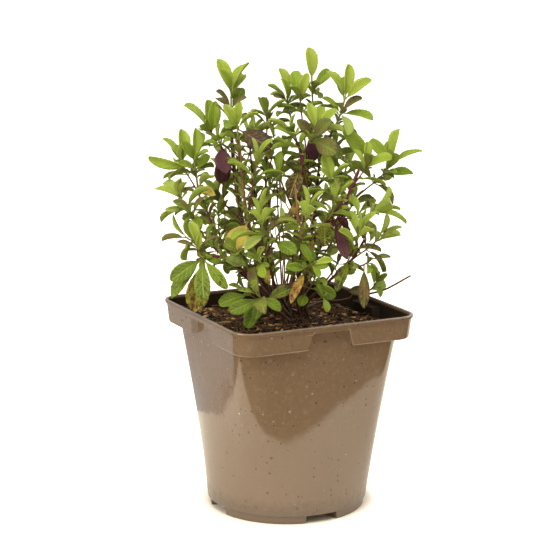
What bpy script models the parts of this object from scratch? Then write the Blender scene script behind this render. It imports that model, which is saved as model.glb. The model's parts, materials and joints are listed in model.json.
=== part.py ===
# A salvia in a square nursery pot: the pot, its compost, and the leafy stems that stand in it.
# Metres, +Z up. The pot's sides face X and Y, and the origin is at the middle of its underside.
import math
import random

import bmesh
import bpy
import numpy as np
from mathutils import Matrix, Vector
from mathutils.bvhtree import BVHTree

mm = 0.001

# Pot
potHeight = 171 * mm
rimHalf = 82.5 * mm
rimCorner = 17.7 * mm
wall = 1.5 * mm
beadHeight = 3.2 * mm
beadStandsOut = 1.5 * mm
skirtHeight = 16.5 * mm
skirtTaper = 1.4 * mm
bodyTopHalf = 73.8 * mm
bodyTopCorner = 24.3 * mm
bodyBottomRadius = 68.0 * mm
footHeight = 7.2 * mm
footInset = 1.9 * mm
notchStrip = 2.8 * mm
notchTopHalf = 16.5 * mm
notchBottomHalf = 20.5 * mm
notchEndRun = 1.0 * mm
cornerSteps = 4
recessMouth = 15.0 * mm
recessDepth = 26.0 * mm
recessSplay = math.radians(19)
drainSlot = (4.0 * mm, 7.0 * mm)
gap = 0.35 * mm

# Compost, as depths below the rim
compostEdge = 15.5 * mm
compostMound = 9.0 * mm
moundSpread = 42.0 * mm
compostCorner = 9.0 * mm
cornerSpread = 26.0 * mm
compostLump = 0.9 * mm

# Stems and leaves
buriedLength = 14.0 * mm
uprightLength = 3.5 * mm
pathStep = 4.0 * mm
stemClearance = 1.6 * mm
stemFullness = 1.12
coarseness = 1.0 * mm
rootOffset = 0.12 * mm
leafSize = 1.2
leafThickness = 0.7 * mm
leafClearance = 0.55 * mm
petioleShare = 0.17
petioleHalf = 0.5 * mm

skirtTop = potHeight - beadHeight
skirtBottom = skirtTop - skirtHeight
notchTop = skirtTop - notchStrip
skirtTopHalf = rimHalf - beadStandsOut

# The plant is laid out as it is seen from one side of the pot: across, rise and toward are
# millimetres to the right, upward and toward the viewer, from a point on the pot's axis.
viewTurn = math.radians(-26.45)
viewLift = math.radians(11.68)
viewDistance = 1.516
viewAim = (-8.7 * mm, 196 * mm)
viewOrigin = Vector((0, 0, 154 * mm))
back = Vector(
    (math.sin(viewTurn) * math.cos(viewLift), -math.cos(viewTurn) * math.cos(viewLift), math.sin(viewLift))
)
right = Vector((math.cos(viewTurn), math.sin(viewTurn), 0))
upward = back.cross(right)
eye = right * viewAim[0] + Vector((0, 0, viewAim[1])) + back * viewDistance

# Each stem: foot x and y, girth at the foot, the points it grows through, and its leaves.
# leaves are (pairs, leaf length, turn of the top pair, openness, age), lengths in millimetres.
# A sixth number leaves out that many top pairs, where the whorls below give the leaves one by one.
# shoots leave the stem at a share of its length and end at a tip, with leaves of their own.
stems = {
    "tall_left": dict(
        foot=(-9, 5), girth=1.35, leaves=(5, 21, 12, 1.1, 0.1, 3),
        path=[(-21, 46, 5), (-36, 84, 8), (-43, 116, 6), (-47, 156, 2), (-47, 201, 0)],
        shoots=[(0.66, (-66, 167, -8), (3, 21, 5, 1.0, 0.1, 1)), (0.7, (-58, 157, 16), (2, 15, 40, 1.2, 0.25)),
                (0.45, (-58, 112, -22), (3, 19, 50, 1.2, 0.45))],
    ),
    "brown_left": dict(
        foot=(-13, -4), girth=1.25, leaves=(4, 19, 25, 1.1, 0.0, 2),
        path=[(-26, 63, 30), (-34, 98, 31), (-40, 139, 27), (-42, 172, 23)],
        shoots=[(0.55, (-25, 141, 42), (3, 21, 10, 1.0, 0.1)), (0.72, (-27, 166, 6), (3, 18, 35, 1.1, 0.1))],
    ),
    "thin_upright": dict(
        foot=(-2, 9), girth=1.0, leaves=(4, 17, 8, 1.1, 0.15, 1), stub=11,
        path=[(-12, 40, 8), (-16, 76, 8), (-18, 114, 6), (-17, 147, 2), (-17, 182, 0)],
        shoots=[(0.5, (-3, 142, -8), (3, 21, 60, 1.1, 0.35)), (0.62, (-10, 158, 22), (3, 20, 5, 1.1, 0.3))],
    ),
    "top_centre": dict(
        foot=(6, 10), girth=1.3, leaves=(4, 21, 86, 1.1, 0.1, 2),
        path=[(9, 36, -14), (13, 72, -18), (16, 114, -18), (20, 156, -16), (22, 178, -15), (21, 212, -14)],
        shoots=[(0.6, (11, 196, -3), (3, 19, 20, 1.0, 0.1, 1)), (0.56, (0, 194, -8), (3, 19, 70, 0.9, 0.1, 1)),
                (0.42, (39, 146, -34), (3, 23, 20, 1.3, 0.4))],
    ),
    "red_centre": dict(
        foot=(0, -4), girth=2.0, leaves=None,
        path=[(5, 36, 10), (7, 67, 15), (9, 99, 18), (12, 126, 19), (13, 145, 19)],
        shoots=[(0.99, (3, 165, 21), (4, 22, 35, 1.0, 0.0, 1)), (0.98, (27, 169, 17), (4, 22, 60, 1.0, 0.1, 1)),
                (0.6, (-6, 127, 30), (3, 20, 20, 1.2, 0.5))],
    ),
    "top_right": dict(
        foot=(12, 5), girth=1.35, leaves=(5, 22, 88, 1.1, 0.3, 3),
        path=[(13, 36, -22), (21, 76, -31), (26, 114, -33), (27, 143, -28), (34, 158, -22), (45, 172, -15),
              (48, 184, -11), (50, 196, -9)],
        shoots=[],
    ),
    "red_right": dict(
        foot=(13, -3), girth=1.4, leaves=None,
        path=[(15, 36, 2), (27, 63, 6), (41, 87, 8), (51, 104, 8), (57, 120, 7), (61, 131, 6)],
        shoots=[(0.9, (69, 138, 8), (3, 21, 15, 1.0, 0.05, 1)), (0.76, (91, 141, -12), (4, 22, 82, 1.1, 0.1, 2)),
                (0.62, (38, 125, 22), (3, 19, 20, 1.0, 0.1, 1)), (0.5, (57, 106, -18), (3, 19, 40, 1.2, 0.4))],
    ),
    "mid_right": dict(
        foot=(8, -12), girth=1.2, leaves=None,
        path=[(13, 36, 30), (20, 62, 39), (27, 81, 43), (37, 91, 45), (48, 104, 45)],
        shoots=[(0.8, (76, 99, 30), (3, 25, 30, 1.2, 0.1)), (0.66, (43, 110, 62), (3, 18, 15, 1.1, 0.25))],
    ),
    "front_right": dict(
        foot=(3, -18), girth=1.15, leaves=(3, 21, 14, 1.1, 0.0),
        path=[(8, 26, 36), (11, 53, 53), (14, 78, 63), (18, 98, 66)],
        shoots=[(0.58, (21, 69, 76), (3, 19, 20, 1.2, 0.3))],
    ),
    "low_right": dict(
        foot=(12, -10), girth=1.3, leaves=None,
        path=[(18, 21, 22), (29, 31, 29), (44, 45, 35), (54, 54, 39), (60, 62, 41), (66, 73, 42)],
        shoots=[(0.74, (62, 80, 54), (3, 21, 20, 1.0, 0.0)), (0.8, (79, 76, 35), (3, 22, 30, 1.1, 0.05)),
                (0.64, (73, 57, 44), (2, 16, 15, 1.9, 0.35)), (0.45, (49, 66, 14), (3, 19, 10, 1.1, 0.5))],
    ),
    "runner": dict(
        foot=(19, 3), girth=0.95, leaves=None,
        path=[(30, 20, -30), (46, 21, -38), (61, 25, -40), (72, 27, -33), (85, 31, -25), (105, 42, -15)],
        shoots=[(0.62, (76, 37, -16), (3, 17, 12, 1.2, 0.2))],
    ),
    "left_arch": dict(
        foot=(-17, 2), girth=1.3, leaves=(4, 20, 24, 1.0, 0.0, 2),
        path=[(-21, 38, 16), (-40, 54, 20), (-57, 71, 18), (-67, 95, 14), (-73, 106, 12), (-76, 122, 8),
              (-79, 144, 5)],
        shoots=[(0.78, (-90, 141, -2), (3, 20, 10, 1.0, 0.0, 1)), (0.5, (-58, 99, 0), (3, 18, 20, 1.2, 0.55))],
    ),
    "left_low": dict(
        foot=(-12, -12), girth=1.2, leaves=(4, 21, 10, 1.1, 0.05, 1),
        path=[(-29, 35, 34), (-52, 57, 41), (-67, 71, 40), (-80, 90, 34), (-87, 101, 30), (-92, 113, 28)],
        shoots=[(0.66, (-86, 75, 36), (2, 22, 5, 1.5, 0.35)), (0.82, (-79, 95, 42), (2, 19, 20, 1.3, 0.4))],
    ),
    "front_left": dict(
        foot=(-6, -19), girth=1.2, leaves=None,
        path=[(-24, 33, 44), (-43, 51, 52), (-57, 58, 55), (-69, 57, 56), (-77, 55, 57)],
        shoots=[(0.93, (-77, 70, 58), (3, 20, 8, 1.0, 0.0)), (0.5, (-44, 66, 62), (2, 17, 30, 1.4, 0.55))],
    ),
    "front_centre": dict(
        foot=(-3, -11), girth=1.2, leaves=(3, 23, 30, 1.1, 0.1),
        path=[(-10, 34, 48), (-17, 59, 61), (-20, 78, 66), (-22, 92, 68)],
        shoots=[(0.62, (-24, 55, 76), (2, 19, 15, 1.2, 0.35)), (0.75, (-4, 84, 52), (3, 19, 30, 1.3, 0.4))],
    ),
    "low_front": dict(
        foot=(-10, -26), girth=1.1, leaves=(3, 22, 18, 1.5, 0.3),
        path=[(-15, 18, 52), (-21, 22, 66), (-26, 27, 73)],
        shoots=[(0.6, (-36, 30, 50), (2, 17, 30, 1.4, 0.4))],
    ),
    "low_centre": dict(
        foot=(9, -22), girth=1.1, leaves=(3, 18, 25, 1.4, 0.25),
        path=[(14, 22, 46), (21, 34, 56), (26, 45, 60)],
        shoots=[(0.55, (36, 30, 66), (2, 16, 10, 1.3, 0.4))],
    ),
    "back_left": dict(
        foot=(-9, 14), girth=1.3, leaves=(4, 21, 10, 1.0, 0.05),
        path=[(-12, 44, -20), (-24, 92, -36), (-30, 138, -44), (-32, 160, -47)],
        shoots=[(0.7, (-52, 132, -62), (3, 21, 30, 1.0, 0.1)), (0.6, (-10, 128, -68), (3, 21, 60, 1.0, 0.1)),
                (0.42, (-44, 88, -76), (3, 20, 20, 1.2, 0.3))],
    ),
    "back_centre": dict(
        foot=(2, 18), girth=1.3, leaves=(3, 21, 40, 1.0, 0.0),
        path=[(4, 40, -24), (8, 82, -46), (12, 118, -62), (14, 138, -68)],
        shoots=[(0.6, (-16, 98, -84), (3, 21, 10, 1.1, 0.1)), (0.66, (30, 106, -80), (3, 21, 40, 1.1, 0.1)),
                (0.4, (8, 62, -84), (3, 20, 20, 1.3, 0.35))],
    ),
    "back_right": dict(
        foot=(10, 14), girth=1.25, leaves=(4, 21, 70, 1.0, 0.05),
        path=[(14, 38, -20), (34, 84, -36), (46, 118, -44), (50, 132, -47)],
        shoots=[(0.62, (64, 98, -60), (3, 20, 30, 1.1, 0.1)), (0.48, (42, 72, -78), (3, 20, 10, 1.2, 0.25))],
    ),
    "back_low": dict(
        foot=(-15, 11), girth=1.15, leaves=(4, 20, 10, 1.1, 0.1),
        path=[(-18, 32, -24), (-38, 52, -46), (-56, 70, -58), (-62, 82, -62)],
        shoots=[(0.55, (-30, 60, -80), (3, 20, 40, 1.3, 0.2)), (0.7, (-72, 64, -48), (3, 19, 10, 1.2, 0.3))],
    ),
}

# Whorls at the plant's outline: stem, where the leaves start, and where each tip is.
whorls = [
    ("tall_left", (-47, 200, 0), [(-59, 225, 4), (-34, 223, 0), (-61, 215, 12), (-37, 215, -10)]),
    ("tall_left", (-46, 184, 0), [(-60, 198, 8), (-36, 200, -5), (-60, 192, -10), (-34, 193, 10)]),
    ("tall_left", (-47, 170, 1), [(-60, 186, 14), (-33, 178, 10)]),
    ("tall_left", (-66, 167, -8), [(-87, 186, -4), (-68, 190, -12), (-59, 190, 0)]),
    ("brown_left", (-42, 172, 23), [(-39, 189, 26), (-54, 187, 32), (-24, 179, 30), (-51, 166, 42)]),
    ("thin_upright", (-17, 182, 0), [(-1, 190, 8), (-30, 180, 12)]),
    ("top_centre", (21, 211, -14), [(19, 235, -12), (25, 231, -18)]),
    ("top_centre", (22, 198, -14), [(37, 215, -20), (27, 192, 4), (8, 212, -24)]),
    ("top_centre", (11, 196, -3), [(18, 213, 2), (6, 215, -8), (2, 202, 12)]),
    ("top_centre", (0, 194, -8), [(-7, 217, -10), (-1, 211, 4), (-13, 206, 2), (-12, 196, 6)]),
    ("top_right", (50, 195, -9), [(51, 221, -8), (33, 214, -6), (73, 207, -6), (46, 212, -18)]),
    ("top_right", (47, 179, -12), [(30, 192, -8), (64, 192, -4), (73, 173, -10), (52, 160, 6)]),
    ("top_right", (44, 170, -16), [(64, 144, -16)]),
    ("red_centre", (3, 165, 21), [(-16, 173, 26), (-8, 179, 14), (11, 178, 28), (2, 168, 44)]),
    ("red_centre", (27, 169, 17), [(18, 188, 16), (42, 181, 20), (10, 173, 26), (34, 168, 38), (30, 185, 8)]),
    ("red_right", (91, 141, -12), [(96, 166, -12), (87, 156, -20), (70, 156, -10), (115, 147, -8)]),
    ("red_right", (86, 124, -8), [(107, 128, 0), (92, 128, 12)]),
    ("red_right", (69, 138, 8), [(68, 155, 6), (87, 147, 14), (92, 138, 20), (56, 148, 0)]),
    ("red_right", (38, 125, 22), [(32, 146, 22), (53, 136, 28), (50, 129, 36), (29, 130, 38), (18, 125, 26)]),
    ("left_arch", (-79, 144, 5), [(-78, 167, 2), (-72, 164, -6), (-92, 155, 14), (-66, 147, 18)]),
    ("left_arch", (-79, 131, 6), [(-92, 137, 20), (-66, 144, 0)]),
    ("left_arch", (-90, 140, -2), [(-105, 158, 0), (-90, 165, -8), (-96, 152, -18)]),
    ("left_low", (-92, 112, 28), [(-112, 115, 30), (-90, 124, 44), (-103, 121, 12)]),
]

# Leaves that stand out one by one: stem, base, tip, width over length, arch in degrees, and how far
# the face turns from the viewer. They hang, curl or lie apart from the pairs.
oddLeaves = [
    ("tall_left", (-57, 156, 15), (-52, 128, 22), 0.54, 25, 10),
    ("tall_left", (-56, 150, 10), (-56, 120, 12), 0.62, 15, -20),
    ("thin_upright", (-17, 168, 3), (-20, 146, 14), 0.70, 30, 15),
    ("tall_left", (-45, 140, 4), (-52, 117, 0), 0.45, 20, 30),
    ("red_centre", (10, 134, 21), (0, 106, 26), 0.50, 15, 5),
    ("red_centre", (13, 142, 17), (17, 116, 10), 0.52, 15, -10),
    ("top_centre", (21, 164, -17), (24, 138, -8), 0.46, 20, 20),
    ("top_right", (33, 157, -23), (41, 134, -20), 0.42, 25, 0),
    ("left_arch", (-78, 132, 7), (-118, 138, 8), 0.33, 50, -50),
    ("left_arch", (-74, 115, 10), (-60, 111, 18), 0.45, 20, 10),
    ("left_low", (-86, 98, 31), (-103, 98, 36), 0.36, 45, -30),
    ("brown_left", (-36, 86, 31), (-44, 62, 36), 0.62, 10, 0),
    ("front_centre", (-20, 77, 66), (-42, 64, 72), 0.58, 25, 20),
    ("front_centre", (-20, 80, 66), (6, 64, 72), 0.46, 30, 10),
    ("front_left", (-57, 59, 55), (-34, 47, 62), 0.48, 15, -25),
    ("front_left", (-74, 55, 57), (-98, 24, 62), 0.30, 95, -40),
    ("front_left", (-76, 55, 57), (-73, 19, 67), 0.42, 25, 5),
    ("front_left", (-77, 55, 56), (-80, 11, 53), 0.44, 10, -10),
    ("front_left", (-73, 56, 57), (-49, 32, 62), 0.38, 25, 10),
    ("front_left", (-70, 57, 56), (-45, 43, 50), 0.42, 30, 25),
    ("mid_right", (37, 91, 45), (52, 58, 54), 0.42, 15, 5),
    ("mid_right", (42, 97, 45), (54, 79, 38), 0.40, 20, 40),
    ("mid_right", (30, 84, 44), (25, 67, 58), 0.62, 10, -5),
    ("mid_right", (70, 99, 31), (101, 86, 26), 0.32, 60, -30),
    ("low_right", (46, 48, 36), (43, 28, 44), 0.42, 15, 20),
    ("low_right", (64, 58, 43), (66, 14, 44), 0.33, 10, 15),
    ("low_right", (44, 46, 35), (58, 47, 30), 0.68, 20, -10),
    ("front_right", (9, 44, 48), (5, 18, 54), 0.36, 10, 10),
    ("low_front", (-18, 21, 62), (-2, 9, 66), 0.54, 30, -30),
    ("low_front", (-25, 26, 72), (-34, -4, 64), 0.46, 30, 0),
    ("low_front", (-23, 25, 70), (-58, 16, 66), 0.46, 35, 15),
    ("low_centre", (22, 36, 57), (41, 23, 56), 0.60, 25, 10),
    ("low_centre", (16, 26, 50), (12, 16, 62), 0.66, 25, 0),
]

# From the top pair down: share of the leaf length, angle to the shoot, arch, space to the next pair
pairSize = (0.8, 0.95, 1.0, 1.0, 0.95, 0.9)
pairLift = (16, 38, 52, 62, 70, 76)
pairArch = (14, 36, 46, 52, 56, 60)
pairSpace = (4.5, 8.0, 10.0, 12.0, 14.0, 15.0)


def seen(across, rise, toward):
    """The point that shows there from the viewer's side."""
    flat = viewOrigin + right * (across * mm) + upward * (rise * mm)
    return flat + (eye - flat).normalized() * (toward * mm)


def compostHeight(x, y):
    """Top of the compost: a mound round the stems, banked in two corners, with small lumps."""
    mound = compostMound * math.exp(-(x * x + y * y) / moundSpread**2)
    corner = math.exp(-((x - rimHalf) ** 2 + (y + rimHalf) ** 2) / (2 * cornerSpread**2))
    corner += math.exp(-((x + rimHalf) ** 2 + (y - rimHalf) ** 2) / (2 * cornerSpread**2))
    lumps = math.sin(210 * x + 1.3) * math.sin(170 * y + 0.4) + math.sin(390 * x - 0.7) * math.cos(340 * y)
    return potHeight - compostEdge + mound + compostCorner * corner + compostLump * lumps


def blocked(point, room):
    """True if a point is nearer than room to the pot's wall, its rim or the compost."""
    reach = max(abs(point.x), abs(point.y))
    if reach < bodyTopHalf - wall:
        return point.z < compostHeight(point.x, point.y) + room
    if reach < rimHalf + room:
        return point.z < potHeight + room
    return False


def smoothPath(points, step):
    """A smooth curve through the points, with a point about every step."""
    ends = [points[0] * 2 - points[1], *points, points[-1] * 2 - points[-2]]
    path = []
    for a, b, c, d in zip(ends, ends[1:], ends[2:], ends[3:]):
        count = max(1, round((c - b).length / step))
        for i in range(count):
            t = i / count
            path.append(
                (b * 2 + (c - a) * t + (a * 2 - b * 5 + c * 4 - d) * t**2 + (b * 3 - a - c * 3 + d) * t**3) / 2
            )
    return path + [points[-1]]


def stemPath(plan):
    """A main stem: buried and upright at its foot, then through its own points."""
    x, y = plan["foot"][0] * mm, plan["foot"][1] * mm
    ground = compostHeight(x, y)
    foot = [Vector((x, y, ground - buriedLength)), Vector((x, y, ground)), Vector((x, y, ground + uprightLength))]
    return smoothPath(foot + [seen(*p) for p in plan["path"]], pathStep)


def shootPath(parent, start, tip):
    """A side shoot: it leaves along its parent and turns up to its tip."""
    first = parent[start]
    along = (parent[start] - parent[start - 1]).normalized()
    reach = (tip - first).length
    toTip = (tip - first) / reach
    rising = (toTip + Vector((0, 0, 0.7))).normalized()
    c1 = first + (along * 0.4 + toTip * 0.6) * reach * 0.35
    c2 = tip - rising * reach * 0.35
    count = max(3, round(reach / pathStep))
    path = []
    for i in range(count + 1):
        t = i / count
        s = 1 - t
        path.append(first * s**3 + c1 * (3 * s * s * t) + c2 * (3 * s * t * t) + tip * t**3)
    return path


def growStems():
    """Every stem and shoot as a dict: the stem it belongs to, path, girth along it, and its leaves."""
    grown = []
    for name, plan in stems.items():
        path = stemPath(plan)
        stub = plan.get("stub", 0) * mm
        girth = plan["girth"] * mm
        tip = 0.45 * girth if plan["leaves"] else 0.7 * girth
        main = dict(stem=name, path=path, girth=girth, tip=tip, leaves=plan["leaves"], parent=None, start=0)
        if stub:
            path.append(path[-1] + (path[-1] - path[-2]).normalized() * stub)
            main["stub"] = True
        grown.append(main)
        for share, end, leaves in plan["shoots"]:
            start = round(share * (len(path) - 1))
            thick = girth * (1 - 0.5 * share) * 0.68
            side = shootPath(path, start, seen(*end))
            grown.append(
                dict(stem=name, path=side, girth=thick, tip=0.5 * mm, leaves=leaves, parent=main, start=start)
            )
    bendClear(grown)
    return grown


def girthAt(shoot, i):
    share = i / (len(shoot["path"]) - 1)
    return shoot["girth"] + (shoot["tip"] - shoot["girth"]) * share**0.8


def bendClear(grown):
    """Bends stems apart where one would cross another, and lifts them off the pot."""
    owner = np.array([i for i, g in enumerate(grown) for _ in g["path"]])
    names = sorted(stems)
    node = np.array([names.index(grown[i]["stem"]) for i in owner])
    fixed = np.array([g["parent"] is None and k < 5 for g in grown for k in range(len(g["path"]))])
    thick = np.array([girthAt(g, k) for g in grown for k in range(len(g["path"]))])
    points = np.array([tuple(p) for g in grown for p in g["path"]])
    starts = np.cumsum([0] + [len(g["path"]) for g in grown])
    index = {id(g): n for n, g in enumerate(grown)}
    near = thick[:, None] + thick[None, :] + stemClearance
    other = node[:, None] != node[None, :]
    for _ in range(60):
        apart = points[:, None, :] - points[None, :, :]
        distance = np.sqrt((apart**2).sum(2)) + 1e-9
        short = np.where(other & (distance < near), near - distance, 0.0)
        push = (apart / distance[..., None] * short[..., None]).sum(1) * 0.4
        push[fixed] = 0
        points += push
        for n, g in enumerate(grown):
            a, b = starts[n], starts[n + 1]
            free = np.arange(a + 1, b - 1)
            free = free[~fixed[free]]
            smooth = (points[free - 1] + points[free + 1]) / 2
            points[free] += (smooth - points[free]) * 0.2 * (np.abs(push[a:b]).max() > 0)
            if g["parent"] is not None:
                points[a] = points[starts[index[id(g["parent"])]] + g["start"]]
    for n, g in enumerate(grown):
        g["path"] = [Vector(p) for p in points[starts[n] : starts[n + 1]]]
        for k, point in enumerate(g["path"]):
            while (k > 5 or g["parent"]) and blocked(point, girthAt(g, k) + 0.6 * mm):
                point.z += 0.2 * mm


def makeLeaf(root, heading, face, length, width, arch, fold, wave, age, order):
    """A leaf: where it starts, where it points, which way its upper side faces, and its bends."""
    heading = heading.normalized()
    face = (face - heading * face.dot(heading)).normalized()
    return dict(
        root=root, heading=heading, face=face, side=heading.cross(face), length=length, width=width,
        arch=arch if abs(arch) > 0.02 else 0.02, fold=fold, wave=wave, age=age, order=order,
    )


def leafHalfWidth(leaf, along):
    """Half the width at a share of the length: a narrow stalk, then an egg-shaped blade."""
    if along <= petioleShare:
        return petioleHalf
    t = (along - petioleShare) / (1 - petioleShare)
    blade = t**0.8 * max(0.0, 1 - t) ** 0.5 / (0.615**0.8 * 0.385**0.5)
    return petioleHalf * (1 - t) + 0.5 * leaf["length"] * leaf["width"] * blade


def leafPoint(leaf, across, along, lift=0.0):
    """A point of the leaf: across from -1 to 1, along from 0 to 1, lift above its middle surface."""
    turn = leaf["arch"] * along
    reach = leaf["length"] / leaf["arch"]
    middle = leaf["root"] + leaf["heading"] * (reach * math.sin(turn)) - leaf["face"] * (reach * (1 - math.cos(turn)))
    face = leaf["face"] * math.cos(turn) + leaf["heading"] * math.sin(turn)
    half = leafHalfWidth(leaf, along) * across
    fold = leaf["fold"] * min(1.0, along / petioleShare - 0.5 if along > petioleShare / 2 else 0.0)
    out = leaf["side"] * math.cos(fold) + face * (math.sin(fold) * (1 if across > 0 else -1))
    normal = face * math.cos(fold) - leaf["side"] * (math.sin(fold) * (1 if across > 0 else -1))
    return middle + out * half + (normal if across else face) * lift


def leafMesh(leaf, thickness, grow=0.0, start=0.0):
    """Vertices and triangles of a thin leaf, or of its part past start. Both faces are split alike."""
    if leaf["length"] > 30 * mm:
        stations, blunt = (0.38, 0.66, 0.9), False
    elif leaf["length"] > 24 * mm:
        stations, blunt = (0.5, 0.84), False
    else:
        stations, blunt = (0.56, 0.95), True
    shares = (start, *stations) if start else stations
    half = thickness / 2
    outline = [(-1, s) for s in shares] + [(0, 1.0)] * (not blunt) + [(1, s) for s in reversed(shares)]
    if not start:
        outline.append((0, 0.0))
    edge = len(outline)
    points = []
    for side in (1, -1):
        for number, (a, s) in enumerate(outline):
            wave = leaf["wave"] * (1 if number % 2 else -1) if 0 < s < 1 and s != start else 0.0
            point = leafPoint(leaf, a, s, side * half + wave)
            if grow:
                if a:
                    middle = leafPoint(leaf, 0, s, side * half + wave)
                    point += (point - middle).normalized() * grow
                else:
                    point += (point - leafPoint(leaf, 0, 0.5, side * half)).normalized() * grow
            points.append(point)
    last = len(shares)
    far = 2 * last - 1 if blunt else 2 * last
    top = [] if start else [(edge - 1, edge - 2, 0)]
    for i in range(last - 1):
        a, b, c, d = i, i + 1, far - i, far - i - 1
        top += [(a, c, b), (c, d, b)] if i % 2 else [(a, c, d), (a, d, b)]
    if not blunt:
        top.append((last - 1, last + 1, last))
    faces = top + [(c + edge, b + edge, a + edge) for a, b, c in top]
    for i in range(edge):
        j = (i + 1) % edge
        faces += [(i, j, j + edge), (i, j + edge, i + edge)]
    return points, faces


def tubeMesh(path, radii, sides):
    """Vertices and faces of a tapering tube with closed ends."""
    points, faces = [], []
    ahead = (path[1] - path[0]).normalized()
    across = ahead.orthogonal().normalized()
    for i, centre in enumerate(path):
        ahead = (path[min(i + 1, len(path) - 1)] - path[max(i - 1, 0)]).normalized()
        across = (across - ahead * across.dot(ahead)).normalized()
        up = ahead.cross(across)
        for k in range(sides):
            a = 2 * math.pi * k / sides
            points.append(centre + (across * math.cos(a) + up * math.sin(a)) * radii[i])
    for i in range(len(path) - 1):
        for k in range(sides):
            n = (k + 1) % sides
            faces.append((i * sides + k, i * sides + n, (i + 1) * sides + n, (i + 1) * sides + k))
    faces.append(tuple(range(sides))[::-1])
    faces.append(tuple((len(path) - 1) * sides + k for k in range(sides)))
    return points, faces


def plainPicks(path, first, last, most):
    """Places of the path that a coarse line needs to stay within most of it."""
    if last - first < 2:
        return [first, last]
    a, b = path[first], path[last]
    along = (b - a).normalized()
    off = [(p - a - along * (p - a).dot(along)).length for p in path[first + 1 : last]]
    worst = max(range(len(off)), key=off.__getitem__)
    if off[worst] < most:
        return [first, last]
    middle = first + 1 + worst
    return plainPicks(path, first, middle, most) + plainPicks(path, middle, last, most)[1:]


def chooseNodes(grown):
    """The points that each coarse tube runs through, and the places that bear a pair of leaves."""
    for shoot in grown:
        path = shoot["path"]
        last = len(path) - 1
        main = shoot["parent"] is None
        picks = plainPicks(path, 4, last, coarseness) if main else plainPicks(path, 0, last, coarseness)
        shoot["picks"] = sorted({0, *picks})
        if shoot["parent"]:
            path[0] = coarsePoint(shoot["parent"], awayFromRings(shoot["parent"], shoot["start"]))
        lengths = [0.0]
        for a, b in zip(path[::-1], path[::-1][1:]):
            lengths.append(lengths[-1] + (a - b).length)
        shoot["nodes"] = []
        if shoot["leaves"]:
            pairs, size = shoot["leaves"][:2]
            skipped = shoot["leaves"][5] if len(shoot["leaves"]) > 5 else 0
            down = (12 * mm if shoot.get("stub") else 0) + 1.8 * mm
            for pair in range(pairs):
                if down > lengths[-1] - (20 * mm if main else 2.5 * mm):
                    break
                i = max(n for n, far in enumerate(lengths) if far <= down)
                k = last - i - (down - lengths[i]) / (lengths[i + 1] - lengths[i])
                if pair >= skipped:
                    shoot["nodes"].append((pair, awayFromRings(shoot, k)))
                down += pairSpace[min(pair, 5)] * mm * (0.8 + 0.02 * size)


def awayFromRings(shoot, k):
    """A place on the path that is not at one of the tube's rings, where a joint would cut many faces."""
    for pick in shoot["picks"][1:-1]:
        if abs(k - pick) < 0.35:
            return pick - 0.35
    return min(k, len(shoot["path"]) - 1.3)


def coarsePoint(shoot, k):
    """The point of the coarse tube's middle line at a place of the path."""
    picks = shoot["picks"]
    i = max(n for n, p in enumerate(picks[:-1]) if p <= k)
    a, b = picks[i], picks[i + 1]
    return shoot["path"][a].lerp(shoot["path"][b], (k - a) / (b - a))


def shootTube(shoot, spare=0.0):
    """The coarse tube of a stem or shoot."""
    path = [shoot["path"][i] for i in shoot["picks"]]
    sides, full = (4, stemFullness) if shoot["parent"] is None else (3, 1.3)
    return tubeMesh(path, [girthAt(shoot, i) * full + spare for i in shoot["picks"]], sides)


class Room:
    """What is already placed, so that the next leaf can be turned clear of it."""

    def __init__(self):
        self.lows = np.empty((0, 3))
        self.highs = np.empty((0, 3))
        self.items = []

    def add(self, whole, blade, stem, shoot):
        cloud = np.array([tuple(p) for p in whole[0]])
        self.lows = np.vstack([self.lows, cloud.min(0)])
        self.highs = np.vstack([self.highs, cloud.max(0)])
        trees = [BVHTree.FromPolygons(*part) if part else None for part in (whole, blade)]
        self.items.append((trees[0], trees[1], stem, shoot))

    def isFree(self, whole, blade, stem, shoot):
        cloud = np.array([tuple(p) for p in whole[0]])
        close = (self.lows < cloud.max(0)).all(1) & (self.highs > cloud.min(0)).all(1)
        wholeTree = bladeTree = None
        for i in np.flatnonzero(close):
            itsWhole, itsBlade, itsStem, itsShoot = self.items[i]
            if itsShoot is shoot:
                continue
            if itsStem == stem:
                bladeTree = bladeTree or BVHTree.FromPolygons(*blade)
                if bladeTree.overlap(itsBlade or itsWhole):
                    return False
            else:
                wholeTree = wholeTree or BVHTree.FromPolygons(*whole)
                if wholeTree.overlap(itsWhole):
                    return False
        return True


# Turn about the shoot, added lift, roll and size, tried in this order until a leaf is clear
tries = [(0, 0, 0, 1.0)] + [
    (turn, lift, roll, size)
    for size in (1.0, 0.86)
    for lift, roll in ((0, 0), (0, 18), (0, -18), (12, 0), (-12, 0), (22, 12), (-20, -12), (34, 0))
    for turn in (0, 14, -14, 28, -28)
]


def settle(room, shoot, shape):
    """The first of the tries whose leaf crosses nothing, or None."""
    for turn, lift, roll, size in tries:
        leaf = shape(math.radians(turn), math.radians(lift), math.radians(roll), size)
        thick = leafThickness + 2 * leafClearance
        whole = leafMesh(leaf, thick, leafClearance)
        blade = leafMesh(leaf, thick, leafClearance, 0.3)
        if any(blocked(p, 0.5 * mm) for p in blade[0]):
            continue
        if room.isFree(whole, blade, shoot["stem"], shoot):
            room.add(leafMesh(leaf, leafThickness), leafMesh(leaf, leafThickness, 0, 0.3), shoot["stem"], None)
            return leaf
    return None


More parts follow.
